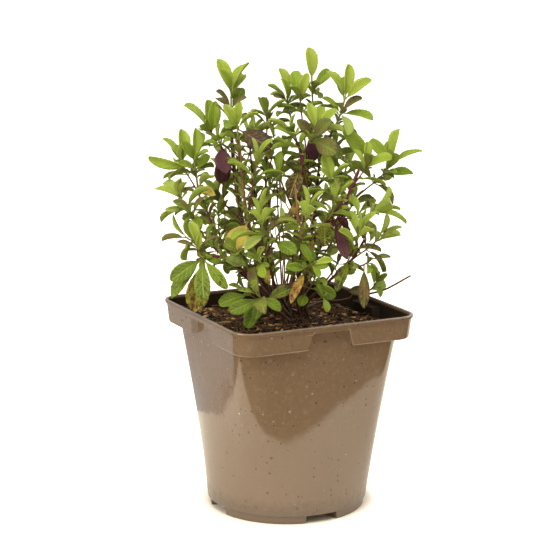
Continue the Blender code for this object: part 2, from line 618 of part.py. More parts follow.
def oddLeaf(plan, grown, room, age, order):
    """One of the leaves that stand out, from the nearest point of its stem."""
    name, base, tip, width, arch, turned, facing = plan
    start, end = seen(*base), seen(*tip)
    owners = [g for g in grown if g["stem"] == name]
    options = [(coarsePoint(g, k - 0.5), g) for g in owners for k in range(3, len(g["path"]) - 1)]
    root, owner = min(options, key=lambda o: (o[0] - start).length)
    chord = end - root
    along = chord.normalized()

    def shape(turn, lift, roll, size):
        bend = math.radians(arch)
        face = Matrix.Rotation(math.radians(turned) + roll, 3, along) @ facing
        face = (face - along * face.dot(along)).normalized()
        heading = Matrix.Rotation(bend / 2 + turn * 0.4, 3, along.cross(face)) @ along
        heading = Matrix.Rotation(lift * 0.6, 3, face) @ heading
        length = chord.length * (bend / 2) / math.sin(bend / 2) * size
        return makeLeaf(root, heading, face, length, width, bend, math.radians(9), 0.5 * mm, age, order)

    return settle(room, owner, shape)


def shootLeaves(shoot, room, draw, firstOrder):
    """The pairs of a shoot from its tip down, each pair across the one above."""
    size, turn, openness, age = shoot["leaves"][1:5]
    found = []
    for pair, k in shoot["nodes"]:
        root = coarsePoint(shoot, k)
        axis = (coarsePoint(shoot, k + 0.1) - coarsePoint(shoot, k - 0.1)).normalized()
        base = (right - axis * right.dot(axis)).normalized()
        rank = min(pair, 5)
        for half in range(2):
            wobble = [draw.uniform(-1, 1) for _ in range(6)]
            around = math.radians(turn + 90 * pair + 180 * half + 13 * wobble[0])
            lift0 = math.radians(pairLift[rank] * openness + 7 * wobble[1])
            length = size * leafSize * mm * pairSize[rank] * (1 + 0.12 * wobble[2])
            arch = math.radians(pairArch[rank] * (0.75 + 0.25 * openness) + 12 * wobble[3])
            width = 0.47 + 0.05 * wobble[4] + 0.02 * min(pair, 2)
            roll0 = math.radians(10 * wobble[5])
            older = min(1.0, age + 0.15 * pair)

            def shape(turned, lifted, roll, scale):
                radial = Matrix.Rotation(around + turned, 3, axis) @ base
                lift = lift0 + lifted
                heading = axis * math.cos(lift) + radial * math.sin(lift)
                face = axis * math.sin(lift) - radial * math.cos(lift)
                face = Matrix.Rotation(roll0 + roll, 3, heading) @ face
                return makeLeaf(
                    root + radial * rootOffset, heading, face, length * scale, width, arch, math.radians(14),
                    0.25 * mm, older, firstOrder + len(found),
                )

            leaf = settle(room, shoot, shape)
            if leaf:
                found.append(leaf)
    return found


def layOut():
    """Stems, shoots and leaves of the whole plant, as lists for each stem."""
    grown = growStems()
    chooseNodes(grown)
    room = Room()
    draw = random.Random(41)
    for shoot in grown:
        room.add(shootTube(shoot, 0.2 * mm), None, shoot["stem"], shoot)
    leaves = {name: [] for name in stems}
    order = 0
    hanging = back + Vector((0, 0, 0.4))
    rising = back * 0.45 + Vector((0, 0, 1))
    plans = [(*plan, hanging, 0.8) for plan in oddLeaves]
    for name, base, tips in whorls:
        plans += [(name, base, tip, 0.48, 34, draw.uniform(-38, 38), rising, 0.1) for tip in tips]
    for *plan, age in plans:
        leaf = oddLeaf(plan, grown, room, age, order)
        order += 1
        if leaf:
            leaves[plan[0]].append(leaf)
    for shoot in grown:
        if shoot["leaves"]:
            found = shootLeaves(shoot, room, draw, order)
            order += len(found)
            leaves[shoot["stem"]] += found
    return grown, leaves


def newMaterial(name, colour, roughness):
    made = bpy.data.materials.new(name)
    made.use_nodes = True
    shader = made.node_tree.nodes["Principled BSDF"]
    shader.inputs["Base Color"].default_value = (*colour, 1)
    shader.inputs["Roughness"].default_value = roughness
    return made


def newObject(name, mesh, material, collection=None):
    made = bpy.data.objects.new(name, mesh)
    (collection or bpy.context.scene.collection).objects.link(made)
    if material:
        mesh.materials.append(material)
    return made


def meshFrom(name, points, faces):
    """A closed mesh with its faces pointing out."""
    form = bmesh.new()
    verts = [form.verts.new(p) for p in points]
    for face in faces:
        form.faces.new([verts[i] for i in face])
    bmesh.ops.remove_doubles(form, verts=form.verts[:], dist=1e-6)
    bmesh.ops.recalc_face_normals(form, faces=form.faces[:])
    mesh = bpy.data.meshes.new(name)
    form.to_mesh(mesh)
    form.free()
    return mesh


def bodyAt(z):
    """Half width, corner radius and roundness of the body at a height."""
    share = (z - footHeight) / (skirtBottom - footHeight)
    half = bodyBottomRadius + (bodyTopHalf - bodyBottomRadius) * share
    return half, bodyTopCorner, max(0.0, 1 - share)


def notchHalfAt(z):
    share = (notchTop - z) / (notchTop - skirtBottom)
    return notchTopHalf + (notchBottomHalf - notchTopHalf) * min(1.0, max(0.0, share))


def ring(z, half, corner, roundness=0.0, notchOut=0.0, inNotch=None, steps=cornerSteps):
    """One level of the pot. The middle of each side can stand at inNotch instead of half."""
    sunk = half if inNotch is None else inNotch
    wide = notchHalfAt(z) + notchOut
    points = []
    for side in range(4):
        turned = Matrix.Rotation(side * math.pi / 2, 3, "Z")
        flat = [(-wide, half), (-wide + notchEndRun, sunk), (wide - notchEndRun, sunk), (wide, half)]
        row = [Vector((x, -y, z)) for x, y in flat]
        middle = Vector((half - corner, -(half - corner), z))
        for k in range(steps + 1):
            a = -math.pi / 2 + k * math.pi / 2 / steps
            row.append(middle + Vector((math.cos(a), math.sin(a), 0)) * corner)
        for p in row:
            flatLength = math.hypot(p.x, p.y)
            scale = 1 + roundness * (half / flatLength - 1)
            points.append(turned @ Vector((p.x * scale, p.y * scale, z)))
    return points


def loft(name, rings):
    """A closed solid through the rings, from the lowest to the highest, with flat ends."""
    form = bmesh.new()
    loops = []
    for points in rings:
        loops.append([form.verts.new(p) for p in points])
    for low, high in zip(loops, loops[1:]):
        for i in range(len(low)):
            j = (i + 1) % len(low)
            form.faces.new((low[i], low[j], high[j], high[i]))
    form.faces.new(loops[0][::-1])
    form.faces.new(loops[-1])
    bmesh.ops.remove_doubles(form, verts=form.verts[:], dist=1e-6)
    bmesh.ops.recalc_face_normals(form, faces=form.faces[:])
    bmesh.ops.triangulate(form, faces=form.faces[:], quad_method="FIXED")
    mesh = bpy.data.meshes.new(name)
    form.to_mesh(mesh)
    form.free()
    return mesh


def outerRings():
    rings = [
        ring(0, bodyBottomRadius - footInset - 0.3 * mm, bodyTopCorner, 1),
        ring(footHeight - 0.3 * mm, bodyBottomRadius - footInset, bodyTopCorner, 1),
    ]
    for share in (0.012, 0.985):
        z = footHeight + (skirtBottom - footHeight) * share
        rings.append(ring(z, *bodyAt(z)))
    low = skirtTopHalf - skirtTaper
    inLow, inHigh = bodyAt(skirtBottom)[0], bodyAt(notchTop)[0]
    corner = rimCorner - beadStandsOut
    rings += [
        ring(skirtBottom - 0.2 * mm, low - 0.8 * mm, corner, inNotch=inLow),
        ring(skirtBottom + 0.7 * mm, low, corner, inNotch=inLow),
        ring(notchTop - 0.5 * mm, skirtTopHalf - 0.25 * mm, corner, inNotch=inHigh),
        ring(notchTop, skirtTopHalf - 0.2 * mm, corner),
        ring(skirtTop, skirtTopHalf, corner),
    ]
    bead = ((0.0, 1.1), (0.5, 1.5), (1.0, 0.5))
    for up, out in bead:
        rings.append(ring(skirtTop + beadHeight * up, skirtTopHalf + out * mm, corner + out * mm))
    return rings


def innerRings(inset, floor, steps=cornerSteps):
    """The inside of the wall, drawn in by inset, from a floor height up."""
    rings = [ring(floor, bodyBottomRadius - footInset - inset, bodyTopCorner, 1, steps=steps)]
    for share in (0.04, 0.985):
        z = footHeight + (skirtBottom - footHeight) * share
        half, corner, roundness = bodyAt(z)
        rings.append(ring(z, half - inset, corner - inset, roundness, steps=steps))
    low = skirtTopHalf - skirtTaper - inset
    inLow, inHigh = bodyAt(skirtBottom)[0] - inset, bodyAt(notchTop)[0] - inset
    corner = rimCorner - beadStandsOut - inset
    half = skirtTopHalf - 0.25 * mm - inset
    rings += [
        ring(skirtBottom + wall, low, corner, notchOut=inset, inNotch=inLow, steps=steps),
        ring(notchTop - 0.5 * mm + wall * 0.6, half, corner, notchOut=inset, inNotch=inHigh, steps=steps),
        ring(notchTop + wall * 0.6, half, corner, notchOut=inset, steps=steps),
    ]
    return rings


def recesses(spare, extra):
    """The four drainage recesses under the base, as solids."""
    made = []
    front, rear = bodyBottomRadius + 4 * mm, bodyBottomRadius - footInset - recessDepth - spare
    mouth = recessMouth + spare
    slope = math.tan(recessSplay)
    for side in range(4):
        form = bmesh.new()
        loops = []
        for z, draft in ((-1 * mm, 1.2 * mm), (footHeight + extra, 0)):
            wide = mouth + (front - bodyBottomRadius) * slope + draft
            narrow = mouth - (bodyBottomRadius - rear) * slope + draft
            corners = [(-wide, -front), (wide, -front), (narrow, -rear + draft), (-narrow, -rear + draft)]
            loops.append([form.verts.new((x, y, z)) for x, y in corners])
        form.faces.new(loops[0][::-1])
        form.faces.new(loops[1])
        for i in range(4):
            j = (i + 1) % 4
            form.faces.new((loops[0][i], loops[0][j], loops[1][j], loops[1][i]))
        bmesh.ops.recalc_face_normals(form, faces=form.faces[:])
        bmesh.ops.rotate(form, verts=form.verts[:], matrix=Matrix.Rotation(side * math.pi / 2, 3, "Z"))
        mesh = bpy.data.meshes.new("recess")
        form.to_mesh(mesh)
        form.free()
        made.append(mesh)
    return made


def cylinder(radius, low, high, sides, x=0.0, y=0.0):
    form = bmesh.new()
    place = Matrix.Translation((x, y, (low + high) / 2))
    bmesh.ops.create_cone(
        form, cap_ends=True, segments=sides, radius1=radius, radius2=radius, depth=high - low, matrix=place
    )
    mesh = bpy.data.meshes.new("cylinder")
    form.to_mesh(mesh)
    form.free()
    return mesh


def combine(target, meshes, operation, solver="EXACT"):
    """Joins meshes to the target, or cuts them from it, and applies the result."""
    helpers = bpy.data.collections.new("helpers")
    bpy.context.scene.collection.children.link(helpers)
    for mesh in meshes:
        newObject("helper", mesh, None, helpers)
    change = target.modifiers.new("combine", "BOOLEAN")
    change.operation = operation
    change.operand_type = "COLLECTION"
    change.collection = helpers
    change.solver = solver
    bpy.context.view_layer.update()
    graph = bpy.context.evaluated_depsgraph_get()
    result = bpy.data.meshes.new_from_object(target.evaluated_get(graph))
    target.modifiers.clear()
    target.data = result
    for helper in list(helpers.objects):
        bpy.data.objects.remove(helper)
    bpy.data.collections.remove(helpers)


def shadeSmooth(target, angle=35):
    target.data.shade_smooth()
    target.data.set_sharp_from_angle(angle=math.radians(angle))


def buildPot():
    taupe = newMaterial("pot_plastic", (0.23, 0.165, 0.105), 0.28)
    pot = newObject("pot", loft("pot", outerRings()), taupe)
    combine(pot, recesses(0, 0), "DIFFERENCE")
    inside = innerRings(wall, wall)
    inside.append(ring(potHeight + 2 * mm, skirtTopHalf - wall, rimCorner - beadStandsOut - wall))
    cavity = newObject("cavity", loft("cavity", inside), None)
    combine(cavity, recesses(wall, wall), "DIFFERENCE")
    holes = []
    for side in range(4):
        form = bmesh.new()
        bmesh.ops.create_cube(form, size=1)
        bmesh.ops.scale(form, vec=(2 * drainSlot[1], 2 * drainSlot[0], 16 * mm), verts=form.verts[:])
        bmesh.ops.translate(form, vec=(0, -(bodyBottomRadius - 12 * mm), footHeight), verts=form.verts[:])
        bmesh.ops.rotate(form, verts=form.verts[:], matrix=Matrix.Rotation(side * math.pi / 2, 3, "Z"))
        mesh = bpy.data.meshes.new("slot")
        form.to_mesh(mesh)
        form.free()
        holes.append(mesh)
    combine(pot, [cavity.data.copy()] + holes, "DIFFERENCE")
    bpy.data.objects.remove(cavity)
    shadeSmooth(pot)


def buildCompost(grown):
    """The compost fills the pot up to its uneven top, with a plain hole for each stem."""
    peat = newMaterial("compost", (0.035, 0.022, 0.014), 0.95)
    rings = innerRings(wall + gap, wall + gap, 2)[:-2]
    inset = wall + gap + 0.3 * mm
    level = potHeight - compostEdge
    inNotch = bodyAt(level)[0] - inset
    half, corner = skirtTopHalf - skirtTaper - inset, rimCorner - beadStandsOut - inset
    edge = ring(level, half, corner, 0, inset, inNotch, 2)
    plain = ring(level, half, corner, 0, inset + 3 * mm, None, 2)
    for scale in (1.0, 0.87, 0.7, 0.5, 0.28):
        row = []
        for p in edge if scale == 1.0 else plain:
            x, y = p.x * scale, p.y * scale
            row.append(Vector((x, y, compostHeight(x, y))))
        rings.append(row)
    compost = newObject("compost", loft("compost", rings), peat)
    holes = recesses(wall + gap, wall + gap)
    for shoot in grown:
        if shoot["parent"] is None:
            foot = shoot["path"][0]
            reach = (shoot["girth"] * stemFullness + gap) / math.cos(math.pi / 6)
            holes.append(cylinder(reach, foot.z - gap, potHeight + 20 * mm, 6, foot.x, foot.y))
    combine(compost, holes, "DIFFERENCE")
    shadeSmooth(compost, 60)


def tidyJoints(target):
    """Closes up the shortest edges round the joints, as far as the solid stays closed."""
    for shortest in (0.15 * mm, 0.1 * mm, 0.07 * mm, 0.04 * mm):
        form = bmesh.new()
        form.from_mesh(target.data)
        bmesh.ops.triangulate(form, faces=form.faces[:])
        bmesh.ops.dissolve_degenerate(form, dist=shortest, edges=form.edges[:])
        bmesh.ops.triangulate(form, faces=form.faces[:])
        closed = all(len(edge.link_faces) == 2 for edge in form.edges)
        if closed:
            form.to_mesh(target.data)
        form.free()
        if closed:
            return


def buildStem(name, grown, leaves, green):
    """One leafy stem: its tubes and leaves joined in one solid."""
    parts = []
    for shoot in grown:
        if shoot["stem"] == name:
            parts.append(meshFrom("tube", *shootTube(shoot)))
    for leaf in leaves:
        parts.append(meshFrom("leaf", *leafMesh(leaf, leafThickness)))
    stem = newObject(name, parts[0], green)
    combine(stem, parts[1:], "UNION", "MANIFOLD")
    tidyJoints(stem)
    shadeSmooth(stem, 50)


def build():
    for old in list(bpy.data.objects):
        bpy.data.objects.remove(old)
    grown, leaves = layOut()
    buildPot()
    buildCompost(grown)
    green = newMaterial("leaf_green", (0.17, 0.30, 0.035), 0.5)
    for name in stems:
        buildStem(name, grown, leaves[name], green)
    print("leaves", sum(len(found) for found in leaves.values()))


build()
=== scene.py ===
import json
import math
import random

import bmesh
import bpy
import numpy as np
from mathutils import Matrix, Vector, noise
from mathutils.bvhtree import BVHTree

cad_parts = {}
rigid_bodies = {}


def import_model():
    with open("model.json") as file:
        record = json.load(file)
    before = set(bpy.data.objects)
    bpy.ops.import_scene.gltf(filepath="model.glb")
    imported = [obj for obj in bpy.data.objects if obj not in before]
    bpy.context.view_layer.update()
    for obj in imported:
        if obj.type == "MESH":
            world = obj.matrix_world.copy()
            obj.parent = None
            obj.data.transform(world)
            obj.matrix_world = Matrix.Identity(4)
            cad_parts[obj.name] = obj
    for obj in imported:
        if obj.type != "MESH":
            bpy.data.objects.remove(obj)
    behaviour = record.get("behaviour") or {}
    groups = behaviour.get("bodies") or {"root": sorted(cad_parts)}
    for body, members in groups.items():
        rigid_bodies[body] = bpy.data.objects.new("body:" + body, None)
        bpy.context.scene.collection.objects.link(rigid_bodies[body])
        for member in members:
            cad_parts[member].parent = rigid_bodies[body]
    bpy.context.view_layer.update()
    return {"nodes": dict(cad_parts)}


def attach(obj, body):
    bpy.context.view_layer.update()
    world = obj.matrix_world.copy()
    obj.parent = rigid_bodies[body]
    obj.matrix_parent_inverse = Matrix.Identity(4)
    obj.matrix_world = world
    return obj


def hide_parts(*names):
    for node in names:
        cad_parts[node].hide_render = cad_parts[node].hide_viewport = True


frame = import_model()
mm = 0.001
print("frame loaded,", len(frame["nodes"]), "nodes")

# Sizes that the solids were made with
potHeight = 171 * mm
rimHalf = 82.5 * mm
rimCorner = 17.7 * mm
wall = 1.5 * mm
beadHeight = 3.2 * mm
beadStandsOut = 1.5 * mm
skirtHeight = 16.5 * mm
skirtTaper = 1.4 * mm
bodyTopHalf = 73.8 * mm
bodyTopCorner = 24.3 * mm
bodyBottomRadius = 68.0 * mm
footHeight = 7.2 * mm
footInset = 1.9 * mm
notchStrip = 2.8 * mm
notchTopHalf = 16.5 * mm
notchBottomHalf = 20.5 * mm
recessMouth = 15.0 * mm
recessDepth = 26.0 * mm
recessSplay = math.radians(19)
drainSlot = (4.0 * mm, 7.0 * mm)
gap = 0.35 * mm
compostEdge = 15.5 * mm
compostMound = 9.0 * mm
moundSpread = 42.0 * mm
compostCorner = 9.0 * mm
cornerSpread = 26.0 * mm
compostLump = 0.9 * mm
buriedLength = 14.0 * mm
uprightLength = 3.5 * mm
pathStep = 4.0 * mm
stemClearance = 1.6 * mm
stemFullness = 1.12
coarseness = 1.0 * mm
rootOffset = 0.12 * mm
leafSize = 1.2
leafThickness = 0.7 * mm
leafClearance = 0.55 * mm
petioleShare = 0.17
petioleHalf = 0.5 * mm
skirtTop = potHeight - beadHeight
skirtBottom = skirtTop - skirtHeight
notchTop = skirtTop - notchStrip
skirtTopHalf = rimHalf - beadStandsOut

# The plant is laid out as it is seen from one side: across, rise and toward, in millimetres
viewTurn = math.radians(-26.45)
viewLift = math.radians(11.68)
viewDistance = 1.516
viewAim = (-8.7 * mm, 196 * mm)
viewOrigin = Vector((0, 0, 154 * mm))
back = Vector(
    (math.sin(viewTurn) * math.cos(viewLift), -math.cos(viewTurn) * math.cos(viewLift), math.sin(viewLift))
)
right = Vector((math.cos(viewTurn), math.sin(viewTurn), 0))
upward = back.cross(right)
eye = right * viewAim[0] + Vector((0, 0, viewAim[1])) + back * viewDistance

# Each stem has a foot on the compost, a girth, the points of its path and its side shoots. A shoot starts at a
# share of its parent and has its own tip. Leaves are: pairs, length, turn, openness, age and pairs left out.
stems = {
    "tall_left": dict(
        foot=(-9, 5), girth=1.35, leaves=(5, 21, 12, 1.1, 0.1, 3),
        path=[(-21, 46, 5), (-36, 84, 8), (-43, 116, 6), (-47, 156, 2), (-47, 201, 0)],
        shoots=[(0.66, (-66, 167, -8), (3, 21, 5, 1.0, 0.1, 1)), (0.7, (-58, 157, 16), (2, 15, 40, 1.2, 0.25)),
                (0.45, (-58, 112, -22), (3, 19, 50, 1.2, 0.45))],
    ),
    "brown_left": dict(
        foot=(-13, -4), girth=1.25, leaves=(4, 19, 25, 1.1, 0.0, 2),
        path=[(-26, 63, 30), (-34, 98, 31), (-40, 139, 27), (-42, 172, 23)],
        shoots=[(0.55, (-25, 141, 42), (3, 21, 10, 1.0, 0.1)), (0.72, (-27, 166, 6), (3, 18, 35, 1.1, 0.1))],
    ),
    "thin_upright": dict(
        foot=(-2, 9), girth=1.0, leaves=(4, 17, 8, 1.1, 0.15, 1), stub=11,
        path=[(-12, 40, 8), (-16, 76, 8), (-18, 114, 6), (-17, 147, 2), (-17, 182, 0)],
        shoots=[(0.5, (-3, 142, -8), (3, 21, 60, 1.1, 0.35)), (0.62, (-10, 158, 22), (3, 20, 5, 1.1, 0.3))],
    ),
    "top_centre": dict(
        foot=(6, 10), girth=1.3, leaves=(4, 21, 86, 1.1, 0.1, 2),
        path=[(9, 36, -14), (13, 72, -18), (16, 114, -18), (20, 156, -16), (22, 178, -15), (21, 212, -14)],
        shoots=[(0.6, (11, 196, -3), (3, 19, 20, 1.0, 0.1, 1)), (0.56, (0, 194, -8), (3, 19, 70, 0.9, 0.1, 1)),
                (0.42, (39, 146, -34), (3, 23, 20, 1.3, 0.4))],
    ),
    "red_centre": dict(
        foot=(0, -4), girth=2.0, leaves=None,
        path=[(5, 36, 10), (7, 67, 15), (9, 99, 18), (12, 126, 19), (13, 145, 19)],
        shoots=[(0.99, (3, 165, 21), (4, 22, 35, 1.0, 0.0, 1)), (0.98, (27, 169, 17), (4, 22, 60, 1.0, 0.1, 1)),
                (0.6, (-6, 127, 30), (3, 20, 20, 1.2, 0.5))],
    ),
    "top_right": dict(
        foot=(12, 5), girth=1.35, leaves=(5, 22, 88, 1.1, 0.3, 3),
        path=[(13, 36, -22), (21, 76, -31), (26, 114, -33), (27, 143, -28), (34, 158, -22), (45, 172, -15),
              (48, 184, -11), (50, 196, -9)],
        shoots=[],
    ),
    "red_right": dict(
        foot=(13, -3), girth=1.4, leaves=None,
        path=[(15, 36, 2), (27, 63, 6), (41, 87, 8), (51, 104, 8), (57, 120, 7), (61, 131, 6)],
        shoots=[(0.9, (69, 138, 8), (3, 21, 15, 1.0, 0.05, 1)),
                (0.76, (91, 141, -12), (4, 22, 82, 1.1, 0.1, 2)),
                (0.62, (38, 125, 22), (3, 19, 20, 1.0, 0.1, 1)),
                 (0.5, (57, 106, -18), (3, 19, 40, 1.2, 0.4))],
    ),
    "mid_right": dict(
        foot=(8, -12), girth=1.2, leaves=None,
        path=[(13, 36, 30), (20, 62, 39), (27, 81, 43), (37, 91, 45), (48, 104, 45)],
        shoots=[(0.8, (76, 99, 30), (3, 25, 30, 1.2, 0.1)), (0.66, (43, 110, 62), (3, 18, 15, 1.1, 0.25))],
    ),
    "front_right": dict(
        foot=(3, -18), girth=1.15, leaves=(3, 21, 14, 1.1, 0.0),
        path=[(8, 26, 36), (11, 53, 53), (14, 78, 63), (18, 98, 66)],
        shoots=[(0.5, (24, 54, 74), (3, 15, 20, 1.3, 0.3, 2))],
    ),
    "low_right": dict(
        foot=(12, -10), girth=1.3, leaves=None,
        path=[(18, 21, 22), (29, 31, 29), (44, 45, 35), (54, 54, 39), (60, 62, 41), (66, 73, 42)],
        shoots=[(0.74, (62, 80, 54), (3, 21, 20, 1.0, 0.0)), (0.8, (79, 76, 35), (3, 22, 30, 1.1, 0.05)),
                (0.64, (73, 57, 44), (2, 16, 15, 1.9, 0.35)), (0.45, (49, 66, 14), (3, 19, 10, 1.1, 0.5))],
    ),
    "runner": dict(
        foot=(19, 3), girth=0.95, leaves=None,
        path=[(30, 20, -30), (46, 21, -38), (61, 25, -40), (72, 27, -33), (85, 31, -25), (105, 42, -15)],
        shoots=[(0.62, (76, 37, -16), (3, 17, 12, 1.2, 0.2))],
    ),
    "left_arch": dict(
        foot=(-17, 2), girth=1.3, leaves=(4, 20, 24, 1.0, 0.0, 2),
        path=[(-21, 38, 16), (-40, 54, 20), (-57, 71, 18), (-67, 95, 14), (-73, 106, 12), (-76, 122, 8),
              (-79, 144, 5)],
        shoots=[(0.78, (-90, 141, -2), (3, 20, 10, 1.0, 0.0, 1)), (0.5, (-58, 99, 0), (3, 18, 20, 1.2, 0.55))],
    ),
    "left_low": dict(
        foot=(-12, -12), girth=1.2, leaves=(4, 21, 10, 1.1, 0.05, 1),
        path=[(-29, 35, 34), (-52, 57, 41), (-67, 71, 40), (-80, 90, 34), (-87, 101, 30), (-92, 113, 28)],
        shoots=[(0.66, (-86, 75, 36), (2, 22, 5, 1.5, 0.35)), (0.82, (-79, 95, 42), (2, 19, 20, 1.3, 0.4))],
    ),
    "front_left": dict(
        foot=(-6, -19), girth=1.2, leaves=None,
        path=[(-24, 33, 44), (-43, 51, 52), (-57, 58, 55), (-69, 57, 56), (-77, 55, 57)],
        shoots=[(0.93, (-77, 70, 58), (3, 20, 8, 1.0, 0.0, 2)), (0.5, (-44, 66, 62), (2, 17, 30, 1.4, 0.55))],
    ),
    "front_centre": dict(
        foot=(-3, -11), girth=1.2, leaves=(3, 23, 30, 1.1, 0.1),
        path=[(-10, 34, 48), (-17, 59, 61), (-20, 78, 66), (-22, 92, 68)],
        shoots=[(0.62, (-24, 55, 76), (2, 19, 15, 1.2, 0.35)), (0.75, (-4, 84, 52), (3, 19, 30, 1.3, 0.4))],
    ),
    "low_front": dict(
        foot=(-10, -26), girth=1.1, leaves=(3, 22, 18, 1.5, 0.3),
        path=[(-15, 18, 52), (-21, 22, 66), (-26, 27, 73)],
        shoots=[(0.6, (-36, 30, 50), (2, 17, 30, 1.4, 0.4))],
    ),
    "low_centre": dict(
        foot=(9, -22), girth=1.1, leaves=(3, 18, 25, 1.4, 0.25),
        path=[(14, 22, 46), (21, 34, 56), (26, 45, 60)],
        shoots=[(0.55, (34, 27, 64), (2, 12, 10, 1.5, 0.5, 1))],
    ),
    "back_left": dict(
        foot=(-9, 14), girth=1.3, leaves=(4, 21, 10, 1.0, 0.05),
        path=[(-12, 44, -20), (-24, 92, -36), (-30, 138, -44), (-32, 160, -47)],
        shoots=[(0.7, (-52, 132, -62), (3, 21, 30, 1.0, 0.1)), (0.6, (-10, 128, -68), (3, 21, 60, 1.0, 0.1)),
                (0.42, (-44, 88, -76), (3, 20, 20, 1.2, 0.3))],
    ),
    "back_centre": dict(
        foot=(2, 18), girth=1.3, leaves=(3, 21, 40, 1.0, 0.0),
        path=[(4, 40, -24), (8, 82, -46), (12, 118, -62), (14, 138, -68)],
        shoots=[(0.6, (-16, 98, -84), (3, 21, 10, 1.1, 0.1)), (0.66, (30, 106, -80), (3, 21, 40, 1.1, 0.1)),
                (0.4, (8, 62, -84), (3, 20, 20, 1.3, 0.35))],
    ),
    "back_right": dict(
        foot=(10, 14), girth=1.25, leaves=(4, 21, 70, 1.0, 0.05),
        path=[(14, 38, -20), (34, 84, -36), (46, 118, -44), (50, 132, -47)],
        shoots=[(0.62, (64, 98, -60), (3, 20, 30, 1.1, 0.1)), (0.48, (42, 72, -78), (3, 20, 10, 1.2, 0.25))],
    ),
    "back_low": dict(
        foot=(-15, 11), girth=1.15, leaves=(4, 20, 10, 1.1, 0.1),
        path=[(-18, 32, -24), (-38, 52, -46), (-56, 70, -58), (-62, 82, -62)],
        shoots=[(0.55, (-30, 60, -80), (3, 20, 40, 1.3, 0.2)), (0.7, (-72, 64, -48), (3, 19, 10, 1.2, 0.3))],
    ),
}

# Young leaves round a tip: the stem, the place on it, the leaves' own tips and their looks. A place is across,
# rise and toward, in millimetres.
whorls = [
    ("tall_left", (-47, 200, 0), [(-59, 225, 4), (-34, 223, 0), (-61, 215, 12), (-37, 215, -10)],
     "young young green green"),
    ("tall_left", (-46, 184, 0), [(-60, 198, 8), (-36, 200, -5), (-60, 192, -10), (-34, 193, 10)],
     "dusk deep dusk dusk"),
    ("tall_left", (-47, 170, 1), [(-60, 186, 14), (-33, 178, 10)], "dusk dusk"),
    ("tall_left", (-66, 167, -8), [(-87, 186, -4), (-68, 190, -12), (-59, 190, 0)], "young green green"),
    ("brown_left", (-42, 172, 23), [(-39, 189, 26), (-54, 187, 32), (-24, 179, 30), (-51, 166, 42)],
     "young young young green"),
    ("thin_upright", (-17, 182, 0), [(-1, 190, 8), (-30, 180, 12)], "pale pale"),
    ("top_centre", (21, 211, -14), [(19, 235, -12), (25, 231, -18)], "young young"),
    ("top_centre", (22, 198, -14), [(37, 215, -20), (27, 192, 4), (8, 212, -24)], "green dusk deep"),
    ("top_centre", (11, 196, -3), [(18, 213, 2), (6, 215, -8), (2, 202, 12)], "young green green"),
    ("top_centre", (0, 194, -8), [(-7, 217, -10), (-1, 211, 4), (-13, 206, 2), (-12, 196, 6)],
     "young young green dusk"),
    ("top_right", (50, 195, -9), [(51, 221, -8), (33, 214, -6), (73, 207, -6), (46, 212, -18)],
     "young young young green"),
    ("top_right", (47, 179, -12), [(30, 192, -8), (64, 192, -4), (73, 173, -10), (52, 160, 6)],
     "green dusk green pale"),
    ("top_right", (44, 170, -16), [(64, 144, -16)], "green"),
    ("red_centre", (3, 165, 21), [(-16, 173, 26), (-8, 179, 14), (11, 178, 28), (2, 168, 44)],
     "young young young green"),
    ("red_centre", (27, 169, 17), [(18, 188, 16), (42, 183, 20), (30, 186, 8)], "young young young"),
    ("red_right", (91, 141, -12), [(96, 166, -12), (87, 156, -20), (70, 156, -10), (115, 147, -8)],
     "young green green green"),
    ("red_right", (86, 124, -8), [(107, 128, 0), (92, 128, 12)], "deep green"),
    ("red_right", (69, 138, 8), [(68, 155, 6), (87, 147, 14), (92, 138, 20), (56, 148, 0)],
     "young young green young"),
    ("red_right", (38, 125, 22), [(32, 146, 22), (53, 136, 28), (50, 129, 36), (29, 130, 38), (18, 125, 26)],
     "young young green green green"),
    ("left_arch", (-79, 144, 5), [(-78, 167, 2), (-72, 164, -6), (-92, 155, 14), (-66, 147, 18)],
     "young young green green"),
    ("left_arch", (-79, 131, 6), [(-92, 137, 20), (-66, 144, 0)], "green green"),
    ("left_arch", (-90, 140, -2), [(-105, 158, 0), (-90, 165, -8), (-96, 152, -18)], "young young green"),
    ("front_right", (24, 53, 74), [(11, 68, 72), (39, 55, 76), (14, 48, 78), (27, 40, 80)],
     "deep young mid green"),
    ("front_left", (-77, 69, 58), [(-82, 87, 60), (-73, 79, 64), (-93, 70, 60), (-58, 74, 62)],
     "young young dusk dusk"),
    ("left_low", (-92, 112, 28), [(-112, 115, 30), (-90, 124, 44), (-103, 121, 12)], "young young pale"),
]

